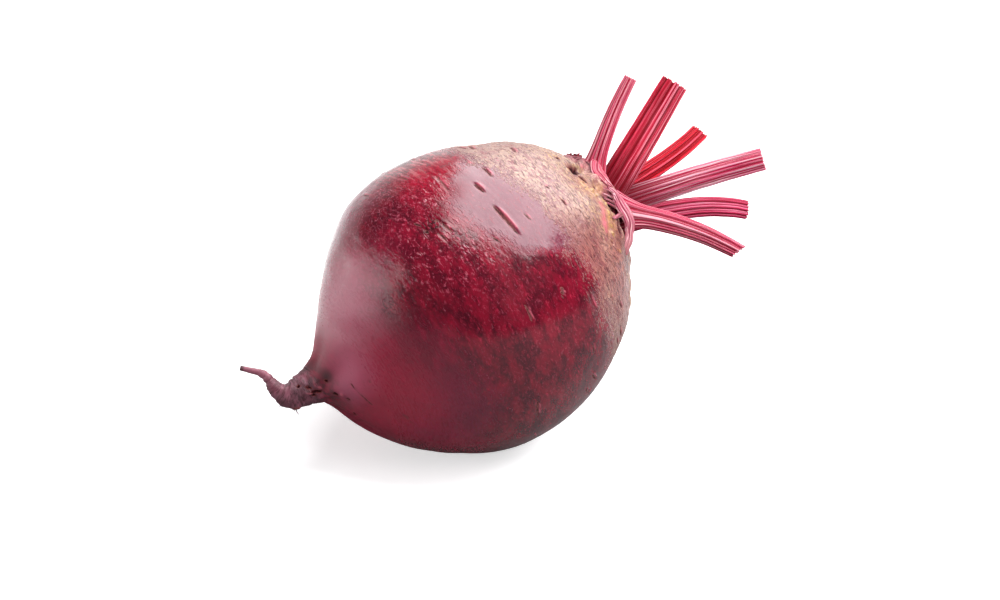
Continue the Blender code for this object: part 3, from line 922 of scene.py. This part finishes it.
class SkinPaint(Paint):
    """The root's skin: the patterns on it, and how much of each zone and mark is where."""

    def __init__(self):
        super().__init__("beet_skin")
        self.place, turn = self.attribute("place"), self.attribute("turn")
        self.shoulder, self.pale, self.mauve = self.parts(self.attribute("zones"))
        self.dark, self.cork, self.lip = self.parts(self.attribute("marks"))
        self.trench, self.strand, _ = self.parts(self.attribute("crown"))
        x, y, self.height = self.parts(self.place)
        self.run = self.parts(turn)[2]
        self.around = self.warp(self.join(x, y, self.run), 1.3, 0.45)

        self.broad = self.noise(self.place, 0.07, 3, 0.6)
        self.patchy = self.grain(self.around, (0.16, 0.16, 0.34), 4, 0.62)
        self.streaky = self.grain(self.around, (0.42, 0.42, 1.7), 4, 0.6)
        self.dashes = self.grain(self.around, (0.55, 0.55, 2.1), 2, 0.55)
        self.flecks = self.grain(self.around, (1.0, 1.0, 1.8), 3, 0.65, (9.0, 2.0, 5.0))
        self.creamy = self.grain(self.around, (0.85, 0.85, 1.7), 3, 0.6, (4.0, 1.0, 2.0))
        self.ribbons = self.grain(turn, (30.0, 30.0, 0.11), 3, 0.6)
        self.grainy = self.noise(self.place, 1.7, 3, 0.65)

        pebble_places = self.stretch(self.warp(self.around, 1.6, 0.9), (0.46, 0.46, 1.10))
        self.pebble_gaps = self.cells(pebble_places, feature="DISTANCE_TO_EDGE")
        picked = self.step(self.parts(self.cells(pebble_places, output="Color"))[0], 0.35, 0.55)
        self.pebbles = self.times(self.step(self.cells(pebble_places), 0.0, 0.42, 1.0, 0.0), picked)

        fine_split = self.centred(self.flecks, 2.2)
        split = self.total(self.centred(self.streaky, 1.3), fine_split)
        soft_split = self.total(self.centred(self.streaky, 1.2), self.centred(self.grainy, 0.8))
        # The pale patch, painted paler partly as a highlight.
        self.pale_and_highlight_share = self.step(self.total(self.pale, split), 0.40, 0.60)
        self.tan_share = self.step(self.total(self.shoulder, soft_split), 0.25, 0.75)
        self.mauve_share = self.step(self.total(self.mauve, self.times(split, 0.7)), 0.05, 0.95)
        ragged_cork = self.total(self.cork, self.times(fine_split, 0.5))
        self.beaded = self.times(self.step(self.cork, 0.05, 0.25), self.step(ragged_cork, 0.20, 0.45))

        # Where the skin is roughest: its pebbles and flecks carry painted glints, and the gaps between them
        # painted shade.
        self.rough_and_glinting_band = self.near((17.0, 34.0, -5.0, 15.0, 11.0))
        flushed = self.near((25.4, 29.3, 2.9, 4.5, 4.0), (29.4, 24.5, 6.7, 4.0, 4.0))
        self.flushed = self.most(flushed, self.times(self.near((20.9, 33.0, -3.1, 3.5, 3.0)), 0.8))
        self.pitted = self.times(self.near((9.2, 28.8, -25.2, 3.0, 1.6)), self.step(self.flecks, 0.52, 0.58))
        self.hollows = self.most(self.dark, self.trench)
        self.tail = self.step(self.height, -49.0, -45.0, 1.0, 0.0)

    def near(self, *spots):
        """1 within reach of a spot and a soft step to 0 outside it. Each spot is x, y, z, reach, softness."""
        shares = []
        for *spot, reach, soft in spots:
            away = self.vector("DISTANCE", self.place, spot)
            shares.append(self.step(away, reach - soft, reach + soft, 1.0, 0.0))
        return self.most(*shares)


def crimson_colour(p):
    """The rough band round the middle: deep crimson, mottled and streaked, painted brighter where the light
    falls, with pale pebbles and flecks carrying painted glints, painted shade in the gaps between them, and a
    painted pale sheen near its left edge.
    """
    banded = p.grain(p.around, (0.13, 0.13, 1.3), 4, 0.62, (1.0, 7.0, 3.0))
    rim = p.near((35.0, 9.0, 5.0, 12.0, 9.0))
    net = p.cells(p.stretch(p.warp(p.around, 3.5, 0.30), (0.48, 0.48, 0.80)), feature="DISTANCE_TO_EDGE")
    # Painted light: brighter red where the light from above falls, over random brighter patches.
    lit_and_random_red = p.most(p.near((30.0, 23.0, 4.0, 9.0, 6.0)), p.step(p.broad, 0.50, 0.70, 0.0, 0.15))
    left_edge = p.between(p.patchy, 0.44, 0.58, rgb(150, 56, 82), rgb(96, 16, 44))
    return p.layers(
        p.between(p.patchy, 0.34, 0.66, rgb(76, 4, 24), rgb(120, 8, 34)),
        (rgb(180, 10, 46), lit_and_random_red, 0.6),
        (rgb(66, 4, 22), p.step(p.streaky, 0.50, 0.70, 0.0, 0.6)),
        (rgb(190, 40, 68), p.step(p.streaky, 0.28, 0.42, 0.5, 0.0)),
        # Painted glints: pale flecks and pebble tops, strongest in the rough band, then painted shade in the
        # gaps between the pebbles.
        (rgb(190, 84, 106), p.step(p.flecks, 0.56, 0.66), p.step(p.rough_and_glinting_band, 0.0, 1.0, 0.18, 0.75)),
        (rgb(156, 22, 50), p.rough_and_glinting_band, 0.12),
        (rgb(196, 96, 116), p.pebbles, p.step(p.rough_and_glinting_band, 0.1, 0.9, 0.05, 0.5)),
        (rgb(52, 3, 17), p.step(p.pebble_gaps, 0.0, 0.14, 0.6, 0.0), p.step(p.patchy, 0.38, 0.60, 1.0, 0.35)),
        # Pale streaks near the upper-left edge, partly a painted grazing sheen, with real dark streaks
        # between them.
        (rgb(190, 108, 112), rim, p.step(banded, 0.50, 0.60), 0.75),
        (rgb(88, 8, 28), rim, p.step(banded, 0.36, 0.45, 0.7, 0.0)),
        # Pinker towards the left edge, partly a painted grazing sheen.
        (left_edge, p.near((35.0, 6.0, -15.0, 10.0, 8.0)), 0.6),
        # Paler towards the patch, as part of its painted highlight.
        (rgb(150, 40, 64), p.step(p.pale, 0.02, 0.35), 0.35),
        (rgb(196, 104, 124), p.near((34.0, 13.0, -14.0, 17.0, 9.0)), p.step(net, 0.0, 0.045, 0.60, 0.0),
         p.step(p.flecks, 0.40, 0.55)),
    )


def mauve_colour(p):
    """The smooth lower end: wine red, deeper in places, with a painted shadow low on its front towards -X and
    a pale pink painted highlight towards the left.
    """
    return p.layers(
        p.between(p.broad, 0.35, 0.65, rgb(118, 2, 38), rgb(140, 6, 48)),
        (rgb(86, 2, 30), p.near((-4.0, 34.0, -19.0, 12.0, 8.0)), 0.6),
        (rgb(72, 2, 24), p.near((4.0, 35.0, -17.0, 14.0, 10.0)), p.step(p.streaky, 0.50, 0.64), 0.6),
        (rgb(104, 2, 34), p.step(p.ribbons, 0.46, 0.70, 0.0, 0.45)),
        (rgb(164, 24, 62), p.step(p.patchy, 0.46, 0.72, 0.0, 0.4)),
        # Painted shadow, low on the front towards -X.
        (rgb(74, 4, 42), p.near((-22.0, 26.0, -20.0, 11.0, 7.0)), 0.5),
        # Painted highlight: pale pink where the reflection of the left softbox falls.
        (rgb(166, 62, 92), p.near((17.5, 17.0, -30.0, 12.0, 8.0), (17.0, 27.0, -23.0, 5.0, 6.0)), 0.8),
        (rgb(162, 8, 50), p.near((-12.0, 18.0, -34.0, 12.0, 8.0)), 0.5),
        (rgb(178, 80, 108), p.near((1.0, 14.0, -40.0, 6.0, 6.0)), 0.75),
        # Painted shade in the small pits.
        (rgb(58, 8, 24), p.pitted),
    )


def pale_patch_and_highlight_colour(p):
    """The pale patch: dusty pink with dark dashes, redder along its edge, and paler than the crimson partly
    as a painted highlight.
    """
    return p.layers(
        p.between(p.patchy, 0.30, 0.70, rgb(104, 34, 56), rgb(120, 58, 74)),
        (rgb(134, 26, 52), p.step(p.streaky, 0.52, 0.70, 0.0, 0.6)),
        (rgb(150, 94, 98), p.step(p.grainy, 0.58, 0.68, 0.0, 0.3)),
        (rgb(96, 12, 40), p.step(p.dashes, 0.54, 0.62), p.step(p.pale, 0.75, 1.0, 0.9, 0.25)),
        (rgb(122, 34, 56), p.step(p.pale, 0.45, 0.85, 0.55, 0.0)),
    )


def tan_colour(p):
    """The corky shoulder: tan and cream with brown dashes, redder and darker on its far side, partly as
    painted shade, and with a painted shade near the crown's edge.
    """
    tan = p.layers(
        p.between(p.patchy, 0.36, 0.62, rgb(156, 106, 112), rgb(182, 146, 138)),
        (rgb(212, 178, 156), p.step(p.creamy, 0.50, 0.60, 0.0, 0.7)),
        (rgb(150, 62, 76), p.step(p.ribbons, 0.54, 0.66, 0.0, 0.4)),
        (rgb(216, 190, 162), p.step(p.grainy, 0.56, 0.66, 0.0, 0.35)),
        (rgb(150, 62, 78), p.step(p.streaky, 0.55, 0.62, 0.0, 0.7)),
        (rgb(104, 44, 48), p.step(p.dashes, 0.56, 0.62, 0.0, 0.75)),
        (rgb(206, 170, 122), p.step(p.height, 28.0, 34.0), p.step(p.creamy, 0.46, 0.56), 0.5),
        (rgb(84, 38, 34), p.step(p.height, 24.0, 32.0), p.step(p.flecks, 0.54, 0.61), 0.8),
        (rgb(136, 78, 80), p.near((-1.5, 32.0, 23.5, 5.0, 4.0)), p.step(p.patchy, 0.3, 0.6, 0.7, 0.4)),
    )
    # Redder and darker towards -X, partly painted shade where the light from above falls off.
    ruddy_shade = p.near((-8.0, 32.0, 20.0, 12.0, 9.0), (-16.0, 18.0, 32.0, 12.0, 8.0))
    tan = p.mix(1.0, tan, p.mix(ruddy_shade, rgb(214, 208, 200), rgb(198, 140, 140)), "MULTIPLY")
    shaded = p.mix(1.0, tan, rgb(176, 146, 138), "MULTIPLY")
    return p.layers(tan, (shaded, p.near((-11.8, 17.0, 36.0, 5.0, 4.0))))


def crown_colour(p):
    """The top of the crown: dark red, and corky along the front of the collar."""
    collar = p.between(p.grainy, 0.42, 0.60, rgb(158, 96, 96), rgb(206, 164, 148))
    return p.layers(
        p.between(p.grainy, 0.4, 0.6, rgb(78, 10, 32), rgb(146, 62, 76)),
        (collar, p.near((6.5, 12.2, 43.2, 6.0, 5.0)), 0.85),
        (rgb(146, 50, 66), p.step(p.strand, 0.30, 0.75, 0.0, 0.5)),
    )


# The trench is painted near black as painted shade, with pale strands across it.
def trench_colour(p):
    return p.layers(
        p.between(p.flecks, 0.4, 0.6, rgb(40, 4, 12), rgb(92, 8, 30)),
        (rgb(196, 110, 124), p.step(p.strand, 0.45, 0.85, 0.0, 0.75)),
    )


def rind_colour(p):
    """The tap root's rind: dull mauve with dark creases round it."""
    folds = p.grain(p.around, (0.20, 0.20, 1.0), 3, 0.6, (2.0, 2.0, 8.0))
    return p.layers(
        p.between(p.patchy, 0.35, 0.68, rgb(92, 50, 62), rgb(134, 80, 96)),
        (rgb(44, 22, 28), p.step(p.streaky, 0.50, 0.62, 0.0, 0.75)),
        (rgb(40, 18, 24), p.step(p.off_middle(folds), 0.0, 0.035, 0.8, 0.0)),
    )


def smudges(p):
    """Grey soil at the neck of the tap root, in blotches and on two spots."""
    neck = p.step(p.height, -47.0, -41.0, 1.0, 0.0)
    blotches = p.step(p.noise(p.place, 0.30, 3, 0.6), 0.40, 0.62)
    fainter = p.times(p.near((3.2, 4.3, -49.0, 1.4, 1.3)), 0.8)
    return p.most(p.times(neck, blotches), p.near((3.2, 7.2, -44.2, 1.7, 1.7)), fainter)


def skin_colour(p):
    """The zones of the globe, then its crown and the tap root, then the marks on them."""
    straw = p.near((7.0, 20.0, 36.8, 3.0, 2.5), (-2.8, 20.6, 36.6, 3.0, 2.5), (5.6, 14.3, 41.0, 1.6, 1.4))
    rosy = p.near((0.8, 21.0, 36.8, 2.0, 1.6), (-3.2, 24.2, 34.2, 1.9, 1.5))
    # Marks are painted dark inside: brown walls, and near-black floors in pits and cracks as painted shade.
    pit_wall = p.between(p.grainy, 0.4, 0.6, rgb(78, 30, 34), rgb(124, 62, 60))
    pit_floor_shade = p.between(p.grainy, 0.4, 0.6, rgb(16, 4, 5), rgb(64, 8, 20))
    return p.layers(
        crimson_colour(p),
        (mauve_colour(p), p.mauve_share),
        (pale_patch_and_highlight_colour(p), p.pale_and_highlight_share),
        (rgb(124, 6, 32), p.flushed, 0.5),
        (rgb(142, 14, 52), p.near((20.0, 26.0, -20.0, 7.0, 6.0)), 0.3),
        (rgb(140, 8, 46), p.near((26.8, 12.0, -25.1, 7.0, 6.0)), 0.35),
        (rgb(170, 84, 110), p.near((-3.0, 9.5, -42.0, 3.5, 3.5)), 0.5),
        (tan_colour(p), p.tan_share),
        # Painted shade in the gaps between the pebbles of a small cluster near the pits.
        (rgb(30, 4, 10), p.near((19.7, 33.4, -6.0, 2.4, 1.8)), p.step(p.pebble_gaps, 0.02, 0.26, 0.85, 0.0)),

        (crown_colour(p), p.step(p.height, 39.5, 42.5, 0.0, 0.9)),
        (trench_colour(p), p.step(p.trench, 0.12, 0.60, 0.0, 0.95)),
        (rgb(46, 31, 33), smudges(p), 0.85),
        (rind_colour(p), p.tail, 0.85),
        (rgb(150, 82, 100), p.step(p.run, 5.0, 11.0, 1.0, 0.0), 0.7),
        (rgb(62, 34, 38), p.step(p.run, 0.5, 1.3, 0.85, 0.0)),

        (rgb(186, 132, 86), straw, p.step(p.creamy, 0.40, 0.60, 0.25, 0.75)),
        (rgb(176, 86, 84), rosy, p.step(p.creamy, 0.40, 0.60, 0.85, 0.35)),
        (p.between(p.grainy, 0.38, 0.62, rgb(112, 62, 40), rgb(184, 142, 86)), p.beaded),
        (rgb(198, 92, 110), p.step(p.lip, 0.2, 0.9, 0.0, 0.7), p.step(p.tail, 0.0, 1.0, 1.0, 0.6)),
        (pit_wall, p.step(p.dark, 0.08, 0.42, 0.0, 0.9)),
        (pit_floor_shade, p.step(p.dark, 0.36, 0.85)),
    )


def skin_roughness(p):
    """Waxy on the middle, and duller on the shoulder, in the hollows and at both ends."""
    return p.total(
        p.step(p.streaky, 0.3, 0.7, 0.13, 0.20),
        p.times(p.tan_share, 0.24),
        p.times(p.mauve_share, 0.12),
        p.step(p.hollows, 0.1, 0.5, 0.0, 0.35),
        p.step(p.height, 39.5, 42.5, 0.0, 0.2),
        p.step(p.height, -43.0, -36.0, 0.30, 0.0),
    )


def skin_shine(p):
    """Little shine in the hollows, and less where the skin is flushed or at the left edge."""
    dull = p.most(p.flushed, p.near((27.5, 9.0, -25.0, 8.0, 7.0)))
    return p.times(p.step(p.hollows, 0.15, 0.80, 0.55, 0.12), p.step(dull, 0.0, 1.0, 1.0, 0.62))


def skin_relief(p):
    """Pebbles on the rough band, streaks by the patch, bark on the shoulder and creases on the tap root."""
    rugged = p.math("SUBTRACT", 1.0, p.most(p.mauve_share, p.pale_and_highlight_share))
    pebbly = p.total(p.times(p.pebbles, rugged), p.times(p.step(p.pebble_gaps, 0.0, 0.20), rugged, 0.25))
    pale_edge = p.times(p.pale_and_highlight_share, p.step(p.pale, 0.75, 1.0, 1.0, 0.08))
    return p.total(
        p.times(pebbly, p.step(p.rough_and_glinting_band, 0.0, 1.0, 0.4, 1.2)),
        p.times(p.streaky, p.total(p.times(rugged, 0.5), 0.02)),
        p.times(p.streaky, pale_edge, 1.3),
        p.times(p.step(p.dashes, 0.54, 0.62), pale_edge, -0.6),
        p.times(p.grainy, p.total(p.times(p.tan_share, 1.7), 0.02)),
        p.times(p.dashes, p.tail, 3.0),
        p.times(p.creamy, p.tan_share, 1.6),
        p.times(p.step(p.dashes, 0.56, 0.66), p.tan_share, -1.5),
        p.times(p.pitted, -1.0),
    )


def skin_paint():
    p = SkinPaint()
    inputs = {
        "Base Color": skin_colour(p),
        "Roughness": skin_roughness(p),
        "Specular IOR Level": skin_shine(p),
    }
    return p.finish(inputs, skin_relief(p), SKIN_RELIEF, RELIEF_STRENGTH)


class Finish(NamedTuple):
    """How a stalk looks: its colours in the grooves, between them, and on the crests and the fine lines, with
    painted shade in the grooves and a painted highlight on the crests.

    The foot's painted shade fades out towards a given share of the length. Dull is how dry the cut is.
    The stalk is plain on the side of it whose places across are below plain_to, in mm.
    """

    deep: tuple
    middle: tuple
    pale: tuple
    foot_shade: float = 0.9
    dull: float = 0.0
    plain_to: float = -99.0
    foot_shade_to: float = 0.46
    foot_shade_colour: tuple = None


FINISHES = {
    "stub_dull": Finish(rgb(70, 8, 22), rgb(124, 22, 42), rgb(166, 88, 92), 0.5, 0.8),
    "stalk_rose": Finish(rgb(178, 24, 56), rgb(234, 108, 138), rgb(250, 202, 212), 0.2),
    "stalk_crimson": Finish(rgb(146, 4, 26), rgb(218, 54, 82), rgb(244, 160, 180), 0.85, plain_to=12.9),
    "stalk_scarlet": Finish(rgb(146, 2, 18), rgb(210, 14, 40), rgb(232, 96, 122)),
    "stalk_pink": Finish(rgb(180, 22, 62), rgb(244, 132, 166), rgb(255, 224, 234),
                         foot_shade_to=0.62, foot_shade_colour=rgb(112, 8, 26)),
    "stalk_ruby": Finish(rgb(130, 6, 36), rgb(196, 48, 88), rgb(228, 142, 170)),
    "stalk_blush": Finish(rgb(164, 18, 52), rgb(214, 76, 112), rgb(244, 184, 196), 0.1),
    "sheath_pink": Finish(rgb(150, 48, 74), rgb(204, 116, 136), rgb(246, 208, 212), 0.85,
                          foot_shade_to=0.75, foot_shade_colour=rgb(140, 84, 86)),
    "sheath_rose": Finish(rgb(168, 44, 72), rgb(220, 112, 132), rgb(246, 192, 196), 0.4, foot_shade_to=0.8),
    "rootlet_brown": Finish(rgb(70, 40, 48), rgb(122, 78, 88), rgb(160, 120, 124), 0.0, 0.8),
}

# Depth in metres of the relief that only the shading shows, and how strongly it shows
SKIN_RELIEF = 0.00007
STALK_RELIEF = 0.00012
RELIEF_STRENGTH = 0.8


def stalk_paint(name, look):
    """Fine pale and dark lines along a stalk, a deep colour and painted shade in its grooves, a painted
    highlight on its crests, painted shade at its foot, and flesh at its cut.
    """
    p = Paint(name)
    grain = p.attribute("grain")
    crest, share, is_cut = p.parts(p.attribute("parts"))
    lines = p.off_middle(p.grain(grain, (1.5, 1.5, 0.012), 2))
    threads = p.off_middle(p.grain(grain, (2.9, 2.9, 0.02), 2, 0.55, (3.0, 1.0, 0.0)))
    fibres = p.grain(grain, (7.5, 7.5, 0.06), 2, 0.5, (1.0, 5.0, 0.0))
    blotches = p.grain(grain, (0.5, 0.5, 0.12), 3, 0.6)
    lined = p.step(p.parts(grain)[0], look.plain_to - 0.3, look.plain_to + 0.3)
    raised = p.total(p.times(crest, 0.8), p.times(blotches, 0.5))
    # How much painted shade the foot gets.
    foot = p.step(share, 0.10, look.foot_shade_to, look.foot_shade, 0.0)
    flesh = p.between(p.cells(grain, 1.1), 0.18, 0.34, rgb(140, 20, 50), rgb(232, 150, 164))
    colour = p.layers(
        p.between(raised, 0.38, 0.86, look.deep, look.middle),
        (look.deep, p.step(blotches, 0.50, 0.68, 0.0, 0.35)),
        (look.deep, p.step(threads, 0.015, 0.05, 0.65, 0.0)),
        (look.pale, p.step(fibres, 0.56, 0.70, 0.0, 0.35)),
        # Painted highlight along the crests, on the lined side.
        (look.pale, lined, p.step(crest, 0.92, 1.20, 0.0, 0.6)),
        # Painted shade at the foot, where the stalks crowd together at the crown.
        (look.foot_shade_colour or p.mix(0.6, look.deep, rgb(30, 2, 10)), foot),
        (look.pale, lined, p.step(lines, 0.010, 0.038, 0.75, 0.0), p.step(crest, 0.15, 0.55, 0.25, 1.0),
         p.step(foot, 0.2, 1.0, 1.0, 0.12)),
        # Painted shade at the bottom of the grooves between the ribs.
        (p.mix(0.5, look.deep, rgb(34, 0, 10)), p.step(crest, 0.0, 0.18, 0.75, 0.0)),
        (p.mix(look.dull, flesh, rgb(92, 30, 36)), p.step(is_cut, 0.30, 0.55)),
    )
    inputs = {
        "Base Color": colour,
        "Roughness": p.step(fibres, 0.3, 0.7, 0.30 + 0.25 * look.dull, 0.46 + 0.25 * look.dull),
        "Specular IOR Level": 0.08,
        "Subsurface Weight": 0.05,
        "Subsurface Scale": 0.001,
    }
    crests = p.step(lines, 0.0, 0.06, 0.5, 0.0)
    grooves = p.step(threads, 0.0, 0.05, -0.6, 0.0)
    relief = p.total(p.times(fibres, 0.6), crests, grooves)
    return p.finish(inputs, relief, STALK_RELIEF, RELIEF_STRENGTH)


# The camera stands as the photograph's did
CAMERA_AROUND = math.radians(-29.08)
CAMERA_UP = math.radians(25.0)
LENS = 100.0
SENSOR = 36.0
PICTURE_WIDTH = 1000
PIXELS_PER_METRE = 3875.0
GLOBE_CENTRE_FROM_MIDDLE = (-30.0, 2.0)

# The floor's own light, which hides its grey from the camera near the beet and all of it farther off
FLOOR_SIZE = 6.0
FLOOR_DROP = 0.0001
FLOOR_GREY = 0.68
FLOOR_GLOW = 0.55
FLOOR_GLOW_REACH = (0.25, 1.2)
FLOOR_MIRRORED = 0.43
FLOOR_MIRRORED_FROM = (0.01, 0.09)

# The room's light behind the camera and in front of it, and between which directions it changes
ROOM_LIGHT = (0.12, 1.35)
ROOM_FACING = (0.40, 0.82)

# Soft lights: where each one stands along the camera's right, up and forward, how far off in metres, how wide
# and long, and how strong its light and its reflection in glossy surfaces are
SOFTBOXES = {
    "softbox_above": ((0.42, 0.83, -0.36), 0.9, (1.08, 0.76), {"light": 1.6}),
    "softbox_top": ((0.36, 0.92, -0.06), 0.9, (1.10, 1.30), {"shine": 1.5}),
    "softbox_left": ((-0.96, -0.03, 0.04), 0.9, (0.62, 1.30), {"light": 1.0, "shine": 0.58}),
    "softbox_behind": ((-0.60, 0.0, 0.79), 0.9, (0.50, 1.10), {"light": 0.6, "shine": 0.28}),
    "softbox_right": ((0.62, 0.20, -0.76), 0.45, (0.30, 0.30), {"light": 1.1}),
}
SHINE_BEFORE_LIGHT = 0.95


def camera_axes():
    """The camera's right, up and forward in the scene."""
    level = math.cos(CAMERA_UP)
    back = Vector((math.sin(CAMERA_AROUND) * level, -math.cos(CAMERA_AROUND) * level, math.sin(CAMERA_UP)))
    right = Vector((math.cos(CAMERA_AROUND), math.sin(CAMERA_AROUND), 0.0))
    return right, right.cross(-back), -back


def camera():
    right, up, forward = camera_axes()
    aside, above = GLOBE_CENTRE_FROM_MIDDLE
    aim = LIES_AT / 1000 - (right * aside + up * above) / PIXELS_PER_METRE
    made = stand("camera", bpy.data.cameras.new("camera"))
    made.data.lens, made.data.sensor_width = LENS, SENSOR
    made.location = aim - forward * (PICTURE_WIDTH * LENS / SENSOR / PIXELS_PER_METRE)
    made.rotation_mode = "QUATERNION"
    made.rotation_quaternion = forward.to_track_quat("-Z", "Y")
    bpy.context.scene.camera = made


def floor():
    """Pale paper. The camera sees it glowing white, a glow that lightens the beet's shadow on it; the beet's
    reflections see it glowing behind the beet, and otherwise the beet gets only the light that its grey
    throws back.
    """
    mesh = bpy.data.meshes.new("floor")
    corners = [(x * FLOOR_SIZE / 2, y * FLOOR_SIZE / 2, 0) for x, y in ((-1, -1), (1, -1), (1, 1), (-1, 1))]
    mesh.from_pydata(corners, [], [(0, 1, 2, 3)])
    made = stand("floor", mesh)
    made.location.z = -FLOOR_DROP
    p = Paint("floor_paper")
    spot = p.node("TexCoord", {}, "Object")
    speckle = p.noise(spot, 300.0, 3)
    seen = p.node("LightPath", {}, "Is Camera Ray")
    behind = p.step(p.vector("DOT_PRODUCT", spot, camera_axes()[2]), *FLOOR_MIRRORED_FROM)
    mirrored = p.times(p.node("LightPath", {}, "Is Glossy Ray"), behind)
    paper = p.between(speckle, 0.3, 0.7, rgb(236, 236, 238), rgb(242, 242, 243))
    away = p.vector("DISTANCE", spot, (0.0, 0.0, 0.0))
    glow = p.times(seen, p.step(away, *FLOOR_GLOW_REACH, FLOOR_GLOW, 1.0))
    inputs = {
        "Base Color": p.mix(p.step(p.most(seen, mirrored), 0.0, 1.0, FLOOR_GREY, 0.0), paper, BLACK),
        "Roughness": p.step(speckle, 0.3, 0.7, 0.8, 0.9),
        "Specular IOR Level": 0.0,
        "Emission Color": WHITE,
        "Emission Strength": p.most(glow, p.times(mirrored, FLOOR_MIRRORED)),
    }
    mesh.materials.append(p.finish(inputs, speckle, 0.00005, 0.3))


def softbox(name, direction, distance, size, strengths):
    """A soft light that looks at the beet, with its reflection as a second light just before it."""
    axes = camera_axes()
    towards = sum((axis * share for axis, share in zip(axes, direction)), Vector()).normalized()
    depth = (axes[2] - towards * axes[2].dot(towards)).normalized()
    turn = Matrix((depth.cross(towards), depth, towards)).transposed().to_quaternion()
    for part, strength in strengths.items():
        light = bpy.data.lights.new(f"{name}_{part}", "AREA")
        light.shape = "RECTANGLE"
        light.size, light.size_y = size
        light.energy = 4 * math.pi * strength * size[0] * size[1]
        made = stand(light.name, light)
        made.location = LIES_AT / 1000 + towards * distance * (SHINE_BEFORE_LIGHT if part == "shine" else 1)
        made.rotation_mode = "QUATERNION"
        made.rotation_quaternion = turn
        made.visible_camera = False
        made.visible_glossy = part == "shine"
        made.visible_diffuse = part == "light"


def surroundings():
    """White where the camera looks past the floor, and a pale room, darker in front, for the light itself."""
    world = bpy.data.worlds.new("studio")
    world.use_nodes = True
    n = Nodes(world.node_tree)
    room, output = (world.node_tree.nodes[name] for name in ("Background", "World Output"))
    facing = n.vector("DOT_PRODUCT", n.node("TexCoord", {}, "Generated"), camera_axes()[2])
    ends = dict(zip(("From Min", "From Max", "To Min", "To Max"), ROOM_FACING + ROOM_LIGHT))
    n.wire(room, {"Color": WHITE, "Strength": n.node("MapRange", {"Value": facing, **ends})})
    seen = n.node("LightPath", {}, "Is Camera Ray")
    white = n.node("Background", {"Color": WHITE, "Strength": 1.0})
    n.wire(output, {"Surface": n.node("MixShader", {0: seen, 1: room.outputs[0], 2: white})})
    bpy.context.scene.world = world


camera()
build_root(skin_paint())
paints = {name: stalk_paint(name, look) for name, look in FINISHES.items()}
for number, stalk in enumerate(STALKS, 1):
    build_stalk(stalk, number, paints[stalk.finish])
strands = [sized(places, THIN_STRAND_SIZES) for places in THIN_STRANDS]
front = [FRONT_SHEATH, *strands, WIDE_STRAND]
build_strands("beet_front_sheath", front, SHEATH_FACES, paints["sheath_pink"])
build_strands("beet_upper_sheath", [UPPER_SHEATH], SHEATH_FACES, paints["sheath_rose"])
build_strands("beet_rootlets", rootlet_tables(), UP, paints["rootlet_brown"])
floor()
for name, box in SOFTBOXES.items():
    softbox(name, *box)
surroundings()
bpy.context.scene.view_settings.view_transform = "Standard"
